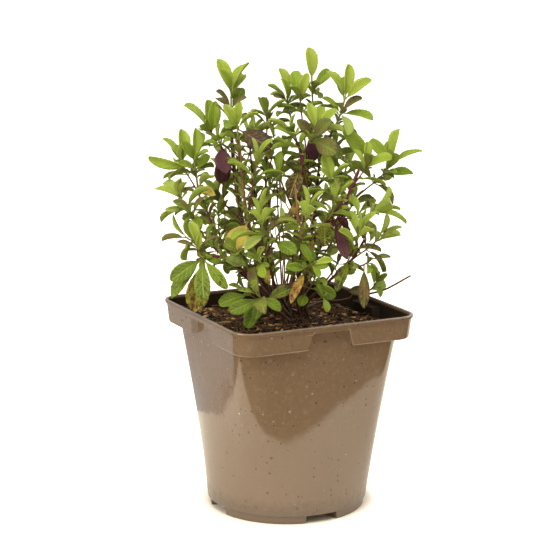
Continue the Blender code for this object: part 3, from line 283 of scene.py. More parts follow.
# Leaves that stand out: the stem, the foot and tip of the leaf, width as a share of length, arch and turn in
# degrees, and the look
oddLeaves = [
    ("tall_left", (-57, 156, 15), (-52, 128, 24), 0.66, 25, 5, "plum"),
    ("tall_left", (-56, 150, 10), (-56, 120, 12), 0.62, 15, -20, "brown"),
    ("brown_left", (-42, 170, 23), (-14, 149, 33), 0.62, 35, 10, "veined"),
    ("tall_left", (-45, 140, 4), (-52, 117, 0), 0.45, 20, 30, "dusk"),
    ("red_centre", (25, 157, 22), (9, 174, 29), 0.56, 30, 15, "dusk"),
    ("red_centre", (25, 157, 22), (38, 173, 28), 0.64, 20, -15, "dusk"),
    ("red_centre", (25, 157, 22), (43, 146, 32), 0.66, 25, 10, "dusk"),
    ("red_centre", (10, 134, 21), (0, 106, 26), 0.50, 15, 5, "netted"),
    ("red_centre", (13, 142, 17), (17, 116, 10), 0.52, 15, -10, "netted"),
    ("top_centre", (21, 164, -17), (24, 138, -8), 0.46, 20, 20, "brown"),
    ("top_right", (33, 157, -23), (41, 134, -20), 0.42, 25, 0, "green"),
    ("left_arch", (-78, 134, 7), (-117, 142, 8), 0.27, 60, -50, "green"),
    ("left_arch", (-74, 118, 12), (-60, 110, 32), 0.38, 20, 10, "yellow"),
    ("left_low", (-86, 98, 31), (-103, 98, 36), 0.36, 45, -30, "pale"),
    ("brown_left", (-42, 86, 33), (-47, 62, 50), 0.62, 12, 0, "yellow"),
    ("front_centre", (-19, 78, 68), (-36, 63, 78), 0.56, 20, 0, "pale"),
    ("front_centre", (-11, 73, 62), (8, 60, 70), 0.55, 25, 0, "mid"),
    ("front_right", (13, 70, 62), (23, 54, 66), 0.55, 25, 10, "deep"),
    ("front_left", (-57, 59, 55), (-34, 47, 62), 0.48, 15, -25, "striped"),
    ("front_left", (-81, 50, 57), (-98, 37, 63), 0.46, 60, -10, "mid"),
    ("front_left", (-84, 45, 54), (-97, 22, 57), 0.42, 25, 30, "spotted"),
    ("front_left", (-78, 47, 58), (-71, 21, 68), 0.46, 25, 5, "spotted"),
    ("front_left", (-77, 46, 55), (-79, 11, 54), 0.62, 10, -10, "blotched"),
    ("front_left", (-73, 49, 57), (-50, 31, 63), 0.36, 15, 10, "spotted"),
    ("front_left", (-78, 51, 57), (-55, 53, 54), 0.44, 30, 0, "mid"),
    ("front_left", (-62, 50, 54), (-45, 42, 50), 0.46, 25, 25, "green"),
    ("mid_right", (42, 87, 48), (52, 56, 57), 0.29, 15, 5, "plum"),
    ("mid_right", (42, 97, 45), (54, 81, 38), 0.28, 20, 40, "plum"),
    ("mid_right", (28, 92, 46), (32, 67, 60), 0.8, 10, -5, "mottled"),
    ("mid_right", (70, 99, 31), (101, 86, 26), 0.32, 60, -30, "green"),
    ("low_right", (48, 57, 42), (43, 28, 52), 0.38, 15, 20, "mottled"),
    ("low_right", (64, 50, 44), (66, 14, 46), 0.29, 10, 15, "olive"),
    ("low_right", (44, 46, 35), (58, 47, 30), 0.68, 20, -10, "green"),
    ("front_right", (7, 44, 62), (4, 18, 82), 0.26, 10, 10, "orange"),
    ("low_front", (-26, 22, 68), (-5, 12, 70), 0.56, 30, -10, "mid"),
    ("low_front", (-25, 26, 72), (-26, 4, 70), 0.5, 30, 0, "mid"),
    ("low_front", (-27, 16, 66), (-33, -3, 62), 0.5, 30, 20, "deep"),
    ("low_front", (-27, 22, 70), (-48, 10, 69), 0.46, 30, -10, "mid"),
    ("low_front", (-36, 30, 60), (-57, 17, 60), 0.52, 35, 15, "mid"),
    ("low_centre", (22, 36, 57), (41, 23, 56), 0.60, 25, 10, "mid"),
    ("low_centre", (16, 26, 50), (12, 16, 62), 0.66, 25, 0, "deep"),
]

# Withered leaves that hang curled among the others
withered = [
    ("tall_left", (-46, 152, 3), (-42, 138, 10), 0.42, 150, 40, "dead"),
    ("tall_left", (-46, 146, 3), (-44, 128, 8), 0.36, 120, -50, "dead"),
    ("tall_left", (-46, 158, 2), (-38, 146, 8), 0.34, 160, 70, "dead"),
    ("tall_left", (-46, 138, 4), (-40, 124, 12), 0.4, 140, 10, "dead"),
    ("tall_left", (-58, 160, 2), (-54, 146, 10), 0.3, 110, 30, "pale"),
    ("tall_left", (-60, 163, 0), (-60, 150, 8), 0.3, 120, -30, "pale"),
    ("tall_left", (-55, 158, 6), (-48, 150, 14), 0.34, 130, 60, "dead"),
    ("thin_upright", (-17, 152, 2), (-12, 140, 10), 0.36, 120, 20, "dead"),
    ("red_centre", (8, 106, 17), (2, 92, 24), 0.4, 120, -20, "dead"),
    ("front_centre", (-12, 48, 56), (-14, 34, 62), 0.4, 130, 30, "dead"),
    ("brown_left", (-30, 78, 30), (-26, 62, 36), 0.4, 110, -30, "brown"),
    ("mid_right", (24, 74, 41), (22, 58, 47), 0.4, 110, 30, "dead"),
    ("red_right", (45, 94, 7), (48, 78, 14), 0.4, 100, -30, "brown"),
]

# From the top pair down: share of the leaf length, angle to the shoot, arch, space to the next pair
pairSize = (0.8, 0.95, 1.0, 1.0, 0.95, 0.9)
pairLift = (16, 38, 52, 62, 70, 76)
pairArch = (14, 36, 46, 52, 56, 60)
pairSpace = (4.5, 8.0, 10.0, 12.0, 14.0, 15.0)
lastRank = len(pairSize) - 1

# How far a leaf of a pair strays, in degrees and shares
strayPlan = dict(turn=13, lift=7, length=0.12, arch=12, width=0.05, roll=10)
pairPlan = dict(width=0.47, widening=0.02, closedArch=0.75, openArch=0.25, ageing=0.15, fold=14, wave=0.25 * mm)


# The point that shows there from the viewer's side
def seen(across, rise, toward):
    flat = viewOrigin + right * (across * mm) + upward * (rise * mm)
    return flat + (eye - flat).normalized() * (toward * mm)


# Top of the compost: a mound round the stems, banked in two corners, with small lumps
def compostHeight(x, y):
    mound = compostMound * math.exp(-(x * x + y * y) / moundSpread**2)
    corner = math.exp(-((x - rimHalf) ** 2 + (y + rimHalf) ** 2) / (2 * cornerSpread**2))
    corner += math.exp(-((x + rimHalf) ** 2 + (y - rimHalf) ** 2) / (2 * cornerSpread**2))
    lumps = math.sin(210 * x + 1.3) * math.sin(170 * y + 0.4) + math.sin(390 * x - 0.7) * math.cos(340 * y)
    return potHeight - compostEdge + mound + compostCorner * corner + compostLump * lumps


# True if a point is nearer than room to the pot's wall, its rim or the compost
def blocked(point, room):
    reach = max(abs(point.x), abs(point.y))
    if reach < bodyTopHalf - wall:
        return point.z < compostHeight(point.x, point.y) + room
    if reach < rimHalf + room:
        return point.z < potHeight + room
    return False


# A point between b and c on the smooth curve through a, b, c and d
def between(a, b, c, d, t):
    return (b * 2 + (c - a) * t + (a * 2 - b * 5 + c * 4 - d) * t**2 + (b * 3 - a - c * 3 + d) * t**3) / 2


# A smooth curve through the points, with a point about every step
def smoothPath(points, step):
    ends = [points[0] * 2 - points[1], *points, points[-1] * 2 - points[-2]]
    path = []
    for a, b, c, d in zip(ends, ends[1:], ends[2:], ends[3:]):
        count = max(1, round((c - b).length / step))
        path += [between(a, b, c, d, i / count) for i in range(count)]
    return path + [points[-1]]


# A main stem: buried and upright at its foot, then through its own points
def stemPath(plan):
    x, y = plan["foot"][0] * mm, plan["foot"][1] * mm
    ground = compostHeight(x, y)
    foot = [Vector((x, y, ground + rise)) for rise in (-buriedLength, 0, uprightLength)]
    return smoothPath(foot + [seen(*p) for p in plan["path"]], pathStep)


# A side shoot: it leaves along its parent and turns up to its tip
def shootPath(parent, start, tip):
    first = parent[start]
    along = (parent[start] - parent[start - 1]).normalized()
    reach = (tip - first).length
    toTip = (tip - first) / reach
    rising = (toTip + Vector((0, 0, 0.7))).normalized()
    c1 = first + (along * 0.4 + toTip * 0.6) * reach * 0.35
    c2 = tip - rising * reach * 0.35
    count = max(3, round(reach / pathStep))
    path = []
    for i in range(count + 1):
        t = i / count
        s = 1 - t
        path.append(first * s**3 + c1 * (3 * s * s * t) + c2 * (3 * s * t * t) + tip * t**3)
    return path


# Every stem and shoot as a dict: the stem it belongs to, path, girth along it, and its leaves
def growStems():
    grown = []
    for name, plan in stems.items():
        path = stemPath(plan)
        stub = plan.get("stub", 0) * mm
        girth = plan["girth"] * mm
        tip = 0.45 * girth if plan["leaves"] else 0.7 * girth
        main = dict(stem=name, path=path, girth=girth, tip=tip, leaves=plan["leaves"], parent=None, start=0)
        if stub:
            path.append(path[-1] + (path[-1] - path[-2]).normalized() * stub)
            main["stub"] = True
        grown.append(main)
        for share, end, leaves in plan["shoots"]:
            start = round(share * (len(path) - 1))
            thick = girth * (1 - 0.5 * share) * 0.68
            side = shootPath(path, start, seen(*end))
            grown.append(
                dict(stem=name, path=side, girth=thick, tip=0.5 * mm, leaves=leaves, parent=main, start=start)
            )
    bendClear(grown)
    return grown


def girthAt(shoot, i):
    share = i / (len(shoot["path"]) - 1)
    return shoot["girth"] + (shoot["tip"] - shoot["girth"]) * share**0.8


bendPlan = dict(rounds=60, push=0.4, smoothing=0.2, rooted=5, potClearance=0.6 * mm, lift=0.2 * mm)


# Bends stems apart where one would cross another, and lifts them off the pot
def bendClear(grown):
    owner = np.array([i for i, g in enumerate(grown) for _ in g["path"]])
    names = sorted(stems)
    node = np.array([names.index(grown[i]["stem"]) for i in owner])
    rooted = bendPlan["rooted"]
    fixed = np.array([g["parent"] is None and k < rooted for g in grown for k in range(len(g["path"]))])
    thick = np.array([girthAt(g, k) for g in grown for k in range(len(g["path"]))])
    points = np.array([tuple(p) for g in grown for p in g["path"]])
    starts = np.cumsum([0] + [len(g["path"]) for g in grown])
    index = {id(g): n for n, g in enumerate(grown)}
    near = thick[:, None] + thick[None, :] + stemClearance
    other = node[:, None] != node[None, :]
    for _ in range(bendPlan["rounds"]):
        apart = points[:, None, :] - points[None, :, :]
        distance = np.sqrt((apart**2).sum(2)) + 1e-9
        short = np.where(other & (distance < near), near - distance, 0.0)
        push = (apart / distance[..., None] * short[..., None]).sum(1) * bendPlan["push"]
        push[fixed] = 0
        points += push
        for n, g in enumerate(grown):
            a, b = starts[n], starts[n + 1]
            free = np.arange(a + 1, b - 1)
            free = free[~fixed[free]]
            smooth = (points[free - 1] + points[free + 1]) / 2
            moved = np.abs(push[a:b]).max() > 0
            points[free] += (smooth - points[free]) * bendPlan["smoothing"] * moved
            if g["parent"] is not None:
                points[a] = points[starts[index[id(g["parent"])]] + g["start"]]
    for n, g in enumerate(grown):
        g["path"] = [Vector(p) for p in points[starts[n] : starts[n + 1]]]
        for k, point in enumerate(g["path"]):
            if g["parent"] is None and k <= rooted:
                continue
            while blocked(point, girthAt(g, k) + bendPlan["potClearance"]):
                point.z += bendPlan["lift"]


# The outline of the solids' leaves: how it swells, how it narrows and where it is widest
bladeRise, bladeFall, bladeWidest = 0.8, 0.5, 0.615


# Half the width at a share of the length: a narrow stalk, then an egg-shaped blade
def leafHalfWidth(leaf, along):
    if along <= petioleShare:
        return petioleHalf
    t = (along - petioleShare) / (1 - petioleShare)
    full = bladeWidest**bladeRise * (1 - bladeWidest) ** bladeFall
    blade = t**bladeRise * max(0.0, 1 - t) ** bladeFall / full
    return petioleHalf * (1 - t) + 0.5 * leaf["length"] * leaf["width"] * blade


# The middle line of a bent leaf at a share of its length, with the directions up and ahead there
def leafLine(leaf, along):
    turn = leaf["arch"] * along
    reach = leaf["length"] / leaf["arch"]
    middle = leaf["root"] + leaf["heading"] * (reach * math.sin(turn))
    middle = middle - leaf["face"] * (reach * (1 - math.cos(turn)))
    up = leaf["face"] * math.cos(turn) + leaf["heading"] * math.sin(turn)
    return middle, up, leaf["heading"] * math.cos(turn) - leaf["face"] * math.sin(turn)


# A point of the leaf: across from -1 to 1, along from 0 to 1, lift above its middle surface
def leafPoint(leaf, across, along, lift=0.0):
    middle, face, _ = leafLine(leaf, along)
    half = leafHalfWidth(leaf, along) * across
    fold = leaf["fold"] * min(1.0, along / petioleShare - 0.5 if along > petioleShare / 2 else 0.0)
    side = 1 if across > 0 else -1
    out = leaf["side"] * math.cos(fold) + face * (math.sin(fold) * side)
    normal = face * math.cos(fold) - leaf["side"] * (math.sin(fold) * side)
    return middle + out * half + (normal if across else face) * lift


# From which length on a thin leaf has which stations along it, and whether its tip is cut off
leafSteps = [(30 * mm, (0.38, 0.66, 0.9), False), (24 * mm, (0.5, 0.84), False), (0, (0.56, 0.95), True)]


# Vertices and triangles of a thin leaf, or of its part past start. Both faces are split alike.
def leafMesh(leaf, thickness, grow=0.0, start=0.0):
    stations, blunt = next(steps[1:] for steps in leafSteps if leaf["length"] > steps[0])
    shares = (start, *stations) if start else stations
    half = thickness / 2
    outline = [(-1, s) for s in shares] + [(0, 1.0)] * (not blunt) + [(1, s) for s in reversed(shares)]
    if not start:
        outline.append((0, 0.0))
    edge = len(outline)
    points = []
    for side in (1, -1):
        for number, (a, s) in enumerate(outline):
            wave = leaf["wave"] * (1 if number % 2 else -1) if 0 < s < 1 and s != start else 0.0
            point = leafPoint(leaf, a, s, side * half + wave)
            if grow:
                if a:
                    middle = leafPoint(leaf, 0, s, side * half + wave)
                    point += (point - middle).normalized() * grow
                else:
                    point += (point - leafPoint(leaf, 0, 0.5, side * half)).normalized() * grow
            points.append(point)
    last = len(shares)
    far = 2 * last - 1 if blunt else 2 * last
    top = [] if start else [(edge - 1, edge - 2, 0)]
    for i in range(last - 1):
        a, b, c, d = i, i + 1, far - i, far - i - 1
        top += [(a, c, b), (c, d, b)] if i % 2 else [(a, c, d), (a, d, b)]
    if not blunt:
        top.append((last - 1, last + 1, last))
    faces = top + [(c + edge, b + edge, a + edge) for a, b, c in top]
    for i in range(edge):
        j = (i + 1) % edge
        faces += [(i, j, j + edge), (i, j + edge, i + edge)]
    return points, faces


# Vertices and faces of a tapering tube with closed ends
def tubeMesh(path, radii, sides):
    points, faces = [], []
    ahead = (path[1] - path[0]).normalized()
    across = ahead.orthogonal().normalized()
    for i, centre in enumerate(path):
        ahead = (path[min(i + 1, len(path) - 1)] - path[max(i - 1, 0)]).normalized()
        across = (across - ahead * across.dot(ahead)).normalized()
        up = ahead.cross(across)
        for k in range(sides):
            a = 2 * math.pi * k / sides
            points.append(centre + (across * math.cos(a) + up * math.sin(a)) * radii[i])
    for i in range(len(path) - 1):
        for k in range(sides):
            n = (k + 1) % sides
            faces.append((i * sides + k, i * sides + n, (i + 1) * sides + n, (i + 1) * sides + k))
    faces.append(tuple(range(sides))[::-1])
    faces.append(tuple((len(path) - 1) * sides + k for k in range(sides)))
    return points, faces


# Places of the path that a coarse line needs to stay within most of it
def plainPicks(path, first, last, most):
    if last - first < 2:
        return [first, last]
    a, b = path[first], path[last]
    along = (b - a).normalized()
    off = [(p - a - along * (p - a).dot(along)).length for p in path[first + 1 : last]]
    worst = max(range(len(off)), key=off.__getitem__)
    if off[worst] < most:
        return [first, last]
    middle = first + 1 + worst
    return plainPicks(path, first, middle, most) + plainPicks(path, middle, last, most)[1:]


# Where pairs stand: below the tip, above the foot, and apart from the rings of the tube in steps of the path
nodePlan = dict(
    stub=12 * mm, first=1.8 * mm, aboveGround=20 * mm, aboveParent=2.5 * mm, fromRing=0.35, fromEnd=1.3,
)


# A place on the path that is not at one of the tube's rings, where a joint would cut many faces
def awayFromRings(shoot, k):
    for pick in shoot["picks"][1:-1]:
        if abs(k - pick) < nodePlan["fromRing"]:
            return pick - nodePlan["fromRing"]
    return min(k, len(shoot["path"]) - nodePlan["fromEnd"])


# The points that each coarse tube runs through, and the places that bear a pair of leaves
def chooseNodes(grown):
    for shoot in grown:
        path = shoot["path"]
        last = len(path) - 1
        main = shoot["parent"] is None
        picks = plainPicks(path, 4, last, coarseness) if main else plainPicks(path, 0, last, coarseness)
        shoot["picks"] = sorted({0, *picks})
        if shoot["parent"]:
            path[0] = coarsePoint(shoot["parent"], awayFromRings(shoot["parent"], shoot["start"]))
        lengths = [0.0]
        for a, b in zip(path[::-1], path[::-1][1:]):
            lengths.append(lengths[-1] + (a - b).length)
        shoot["nodes"] = []
        if shoot["leaves"]:
            pairs, size = shoot["leaves"][:2]
            skipped = shoot["leaves"][5] if len(shoot["leaves"]) > 5 else 0
            down = (nodePlan["stub"] if shoot.get("stub") else 0) + nodePlan["first"]
            lowest = lengths[-1] - nodePlan["aboveGround" if main else "aboveParent"]
            for pair in range(pairs):
                if down > lowest:
                    break
                i = max(n for n, far in enumerate(lengths) if far <= down)
                k = last - i - (down - lengths[i]) / (lengths[i + 1] - lengths[i])
                if pair >= skipped:
                    shoot["nodes"].append((pair, awayFromRings(shoot, k)))
                down += pairSpace[min(pair, lastRank)] * mm * (0.8 + 0.02 * size)


# The point of the coarse tube's middle line at a place of the path
def coarsePoint(shoot, k):
    picks = shoot["picks"]
    i = max(n for n, p in enumerate(picks[:-1]) if p <= k)
    a, b = picks[i], picks[i + 1]
    return shoot["path"][a].lerp(shoot["path"][b], (k - a) / (b - a))


# The coarse tube of a stem or shoot
def shootTube(shoot, spare=0.0):
    path = [shoot["path"][i] for i in shoot["picks"]]
    sides, full = (4, stemFullness) if shoot["parent"] is None else (3, 1.3)
    return tubeMesh(path, [girthAt(shoot, i) * full + spare for i in shoot["picks"]], sides)


# A leaf: where it starts, where it points, which way its upper side faces, its bends and its look
def makeLeaf(root, heading, face, length, width, arch, fold, wave, look):
    heading = heading.normalized()
    face = (face - heading * face.dot(heading)).normalized()
    return dict(
        root=root, heading=heading, face=face, side=heading.cross(face), length=length, width=width,
        arch=arch if abs(arch) > 0.02 else 0.02, fold=fold, wave=wave, look=look,
    )


# What is already placed, so that the next leaf can be turned clear of it
class Room:
    def __init__(self):
        self.lows = np.empty((0, 3))
        self.highs = np.empty((0, 3))
        self.items = []

    def add(self, whole, blade, stem, shoot):
        cloud = np.array([tuple(p) for p in whole[0]])
        self.lows = np.vstack([self.lows, cloud.min(0)])
        self.highs = np.vstack([self.highs, cloud.max(0)])
        trees = [BVHTree.FromPolygons(*part) if part else None for part in (whole, blade)]
        self.items.append((trees[0], trees[1], stem, shoot))

    def isFree(self, whole, blade, stem, shoot):
        cloud = np.array([tuple(p) for p in whole[0]])
        close = (self.lows < cloud.max(0)).all(1) & (self.highs > cloud.min(0)).all(1)
        wholeTree = bladeTree = None
        for i in np.flatnonzero(close):
            itsWhole, itsBlade, itsStem, itsShoot = self.items[i]
            if itsShoot is shoot:
                continue
            if itsStem == stem:
                bladeTree = bladeTree or BVHTree.FromPolygons(*blade)
                if bladeTree.overlap(itsBlade or itsWhole):
                    return False
            else:
                wholeTree = wholeTree or BVHTree.FromPolygons(*whole)
                if wholeTree.overlap(itsWhole):
                    return False
        return True


# Turn about the shoot, added lift, roll and size, tried in this order until a leaf is clear
tries = [(0, 0, 0, 1.0)] + [
    (turn, lift, roll, size)
    for size in (1.0, 0.86)
    for lift, roll in ((0, 0), (0, 18), (0, -18), (12, 0), (-12, 0), (22, 12), (-20, -12), (34, 0))
    for turn in (0, 14, -14, 28, -28)
]


# The first of the tries whose leaf crosses nothing, or None
def settle(room, shoot, shape, most=len(tries)):
    for turn, lift, roll, size in tries[:most]:
        leaf = shape(math.radians(turn), math.radians(lift), math.radians(roll), size)
        thick = leafThickness + 2 * leafClearance
        whole = leafMesh(leaf, thick, leafClearance)
        blade = leafMesh(leaf, thick, leafClearance, 0.3)
        if any(blocked(p, 0.5 * mm) for p in blade[0]):
            continue
        if room.isFree(whole, blade, shoot["stem"], shoot):
            body, middle = leafMesh(leaf, leafThickness), leafMesh(leaf, leafThickness, 0, 0.3)
            room.add(body, middle, shoot["stem"], None)
            return leaf
    return None


# Shares of the tries' turn and lift that such a leaf takes, its fold and its waves
oddPlan = dict(turnShare=0.4, liftShare=0.6, fold=math.radians(9), wave=0.5 * mm)


# One of the leaves that stand out, from the nearest point of its stem
def oddLeaf(plan, grown, room, facing):
    name, base, tip, width, arch, turned, look = plan
    start, end = seen(*base), seen(*tip)
    options = [
        (coarsePoint(g, k - 0.5), g, k - 0.5)
        for g in grown if g["stem"] == name
        for k in range(3, len(g["path"]) - 1)
    ]
    root, owner, place = min(options, key=lambda o: (o[0] - start).length)
    chord = end - root
    along = chord.normalized()

    def shape(turn, lift, roll, size):
        bend = math.radians(arch)
        face = Matrix.Rotation(math.radians(turned) + roll, 3, along) @ facing
        face = (face - along * face.dot(along)).normalized()
        heading = Matrix.Rotation(bend / 2 + turn * oddPlan["turnShare"], 3, along.cross(face)) @ along
        heading = Matrix.Rotation(lift * oddPlan["liftShare"], 3, face) @ heading
        length = chord.length * (bend / 2) / math.sin(bend / 2) * size
        return makeLeaf(root, heading, face, length, width, bend, oddPlan["fold"], oddPlan["wave"], look)

    leaf = settle(room, owner, shape)
    if leaf:
        leaf["shift"] = finePoint(owner, place) - root
    return leaf


# A leaf that stands out from a shoot, as a function of its extra turn, lift, roll and size
def sideLeaf(root, axis, around, outward, rolled, length, form, look):
    base = (right - axis * right.dot(axis)).normalized()

    def shape(turn, lift, roll, scale):
        radial = Matrix.Rotation(around + turn, 3, axis) @ base
        heading = axis * math.cos(outward + lift) + radial * math.sin(outward + lift)
        face = axis * math.sin(outward + lift) - radial * math.cos(outward + lift)
        if rolled is not None:
            face = Matrix.Rotation(rolled + roll, 3, heading) @ face
        return makeLeaf(root + radial * rootOffset, heading, face, length * scale, *form, look)

    return shape


# The pairs of a shoot from its tip down, each pair across the one above
def shootLeaves(shoot, room, draw):
    plan = pairPlan
    size, turn, openness, age = shoot["leaves"][1:5]
    bend = plan["closedArch"] + plan["openArch"] * openness
    found = []
    for pair, k in shoot["nodes"]:
        root = coarsePoint(shoot, k)
        axis = (coarsePoint(shoot, k + 0.1) - coarsePoint(shoot, k - 0.1)).normalized()
        rank = min(pair, lastRank)
        for half in range(2):
            stray = {name: most * draw.uniform(-1, 1) for name, most in strayPlan.items()}
            around = math.radians(turn + 90 * pair + 180 * half + stray["turn"])
            outward = math.radians(pairLift[rank] * openness + stray["lift"])
            length = size * leafSize * mm * pairSize[rank] * (1 + stray["length"])
            arch = math.radians(pairArch[rank] * bend + stray["arch"])
            width = plan["width"] + stray["width"] + plan["widening"] * min(pair, 2)
            rolled = math.radians(stray["roll"])
            older = min(1.0, age + plan["ageing"] * pair)
            form = (width, arch, math.radians(plan["fold"]), plan["wave"])
            leaf = settle(room, shoot, sideLeaf(root, axis, around, outward, rolled, length, form, older))
            if leaf:
                leaf["shift"] = finePoint(shoot, k) - root
                found.append(leaf)
    return found


# A point of the smooth stem at a place of its path
def finePoint(shoot, k):
    path = shoot["path"]
    i = min(int(k), len(path) - 2)
    a, b = path[i], path[i + 1]
    before = path[i - 1] if i else a * 2 - b
    after = path[i + 2] if i + 2 < len(path) else b * 2 - a
    return between(before, a, b, after, k - i)


whorlPlan = dict(width=0.48, arch=34, turn=38)


# Stems, shoots and leaves of the whole plant, as lists for each stem
def layOut():
    grown = growStems()
    chooseNodes(grown)
    room = Room()
    draw = random.Random(41)
    for shoot in grown:
        room.add(shootTube(shoot, 0.2 * mm), None, shoot["stem"], shoot)
    leaves = {name: [] for name in stems}
    hanging = back + Vector((0, 0, 0.4))
    rising = back * 0.45 + Vector((0, 0, 1))
    plans = [(plan, hanging) for plan in oddLeaves]
    width, arch, most = whorlPlan["width"], whorlPlan["arch"], whorlPlan["turn"]
    for name, base, tips, looks in whorls:
        for tip, look in zip(tips, looks.split()):
            plans.append(((name, base, tip, width, arch, draw.uniform(-most, most), look), rising))
    for plan, facing in plans:
        leaf = oddLeaf(plan, grown, room, facing)
        if leaf:
            leaves[plan[0]].append(leaf)
    for shoot in grown:
        if shoot["leaves"]:
            leaves[shoot["stem"]] += shootLeaves(shoot, room, draw)
    for plan in withered:
        leaf = oddLeaf(plan, grown, room, hanging)
        if leaf:
            leaves[plan[0]].append(leaf)
    return grown, leaves, room


# The looks of a leaf: youth, purple, yellow, blotches and frost. The deep look is a darker green for leaves that sit
# in shade, their green darkened with painted shade.
looks = dict(
    young=(1.0, 0.0, 0.0, 0.0, 0.1), green=(0.6, 0.0, 0.0, 0.03, 0.1), mid=(0.12, 0.0, 0.0, 0.08, 0.1),
    deep=(0.15, 0.08, 0.0, 0.05, 0.0), pale=(0.85, 0.0, 0.0, 0.0, 1.0), dusk=(0.34, 0.56, 0.0, 0.25, 0.25),
    plum=(0.35, 1.0, 0.0, 0.2, 0.25), brown=(0.1, 0.8, 0.3, 0.35, 0.0), veined=(0.2, 0.62, 0.4, 0.85, 0.0),
    netted=(0.35, 0.2, 0.7, 0.95, 0.0), blotched=(0.65, 0.0, 0.62, 0.45, 0.0), yellow=(0.6, 0.0, 1.0, 0.12, 0.0),
    spotted=(0.36, 0.0, 0.1, 0.4, 0.1), striped=(0.4, 0.3, 0.1, 0.5, 0.8), mottled=(0.4, 0.15, 0.45, 0.6, 0.0),
    orange=(0.3, 0.25, 1.0, 0.42, 0.0), olive=(0.2, 0.55, 0.55, 0.5, 0.15), dead=(0.0, 0.15, 1.0, 0.35, 0.0),
)
# How leaves turn with age: from which age on, how many of them and how far
agePlan = dict(
    purpleFrom=0.15, purpleShare=0.7, purple=(0.15, 0.62), blotches=0.6, yellowFrom=0.6, yellowShare=0.12,
    yellow=(0.4, 0.9), youthSpread=(-0.12, 0.08),
)
leafPlan = dict(
    columns=6, rows=26, smallColumns=4, smallRows=12, small=14 * mm, stalkRows=0.12, thickness=0.42 * mm,
    rise=(0.8, 1.05), fall=(0.5, 0.8), blunt=(0.02, 0.06), slim=0.85, widths=(0.93, 1.05), sway=0.07,
    teeth=8, toothDepth=0.085, cup=1.3, stalkCup=1.6, bow=(0.01, 0.05), twist=math.radians(16),
    ripple=0.5 * mm, rippledLength=22 * mm, ripples=9, slantedRipple=1.7,
    folding=math.radians(26), loosest=math.radians(-4), tightest=math.radians(14),
)
wholeTurn = 6.3  # a little over 360 degrees


# The look of a leaf as two colours that the materials read
def leafPaint(leaf, draw):
    look, plan = leaf["look"], agePlan
    if isinstance(look, str):
        youth, purple, yellow, blotch, frost = looks[look]
    else:
        youth, purple, yellow, blotch, frost = 1.0 - 0.95 * look, 0.0, 0.0, 0.02, 0.1
        if look > plan["purpleFrom"] and draw.random() < plan["purpleShare"]:
            purple, blotch = draw.uniform(*plan["purple"]), plan["blotches"] * draw.random()
        if look > plan["yellowFrom"] and draw.random() < plan["yellowShare"]:
            yellow = draw.uniform(*plan["yellow"])
    youth = min(1.0, max(0.0, youth + draw.uniform(*plan["youthSpread"])))
    return (youth, purple, yellow, blotch), (draw.random(), frost, draw.random(), 1.0)


# A fine leaf: a grid bent to the leaf's own curve, with a stalk, a scalloped edge and a cupped blade
def growLeaf(form, layers, leaf, draw):
    plan = leafPlan
    small = leaf["length"] < plan["small"]
    columns, rows = (plan["smallColumns"], plan["smallRows"]) if small else (plan["columns"], plan["rows"])
    paint, mood = leafPaint(leaf, draw)
    rise, fall, blunt = [draw.uniform(*plan[name]) for name in ("rise", "fall", "blunt")]
    fold = leaf["fold"] + plan["folding"] * paint[0] + draw.uniform(plan["loosest"], plan["tightest"])
    slim = plan["slim"] * draw.uniform(*plan["widths"])
    sway = draw.uniform(-1, 1) * plan["sway"] * leaf["length"]
    twist, phase = draw.uniform(-1, 1) * plan["twist"], draw.uniform(0, wholeTurn)
    bow = draw.uniform(*plan["bow"]) * leaf["length"]
    widest = rise / (rise + fall)
    full = widest**rise * (1 - widest) ** fall
    stalk = plan["stalkRows"]
    lines = []
    for row in range(rows + 1):
        share = row / rows
        if share < stalk:
            along = petioleShare * share / stalk
        else:
            along = petioleShare + (1 - petioleShare) * (share - stalk) / (1 - stalk)
        t = max(0.0, (along - petioleShare) / (1 - petioleShare))
        middle, up, ahead = leafLine(leaf, along)
        lean = twist * along
        out = leaf["side"] * math.cos(lean) + up * math.sin(lean)
        up = up * math.cos(lean) - leaf["side"] * math.sin(lean)
        blade = t**rise * (1 - t * (1 - blunt)) ** fall / full
        blade *= 1 - plan["toothDepth"] * (1 - abs(math.sin(math.pi * plan["teeth"] * t)))
        half = petioleHalf * (1 - 0.7 * t) + 0.5 * leaf["length"] * leaf["width"] * slim * blade
        middle = middle + out * (sway * t * (t - 0.45))
        lines.append((middle + leaf["shift"] * (1 - along), up, ahead, out, half, along, t))
    grid = bmesh.ops.create_grid(form, x_segments=columns, y_segments=rows, size=0.5, calc_uvs=True)
    ripple = plan["ripple"] * leaf["length"] / plan["rippledLength"]
    for vert in grid["verts"]:
        a = vert.co.x * 2
        middle, up, ahead, out, half, along, t = lines[round((vert.co.y + 0.5) * rows)]
        spread = math.cos(fold) if t else 1.0
        cup = math.sin(fold) * half * abs(a) ** plan["cup"] * (1.0 if t else plan["stalkCup"])
        wave = ripple * a * a * math.sin(plan["ripples"] * along + phase + plan["slantedRipple"] * a) * t
        vert.co = middle + out * (half * a * spread) + up * (cup + wave) - ahead * (bow * a * a * t)
        vert[layers[0]] = paint
        vert[layers[1]] = mood


# Small leaves in the axils and on the bare lower stems, where they find room
sproutPlan = dict(
    size=(5.5, 11.0), age=0.25, lowerSize=(8.0, 16.0), lowerAge=0.5, lift=(20, 60), width=(0.45, 0.6),
    arch=(15, 60),
    first=7.0, spacing=1.2, apart=0.9, tries=5, lowest=198 * mm,
)


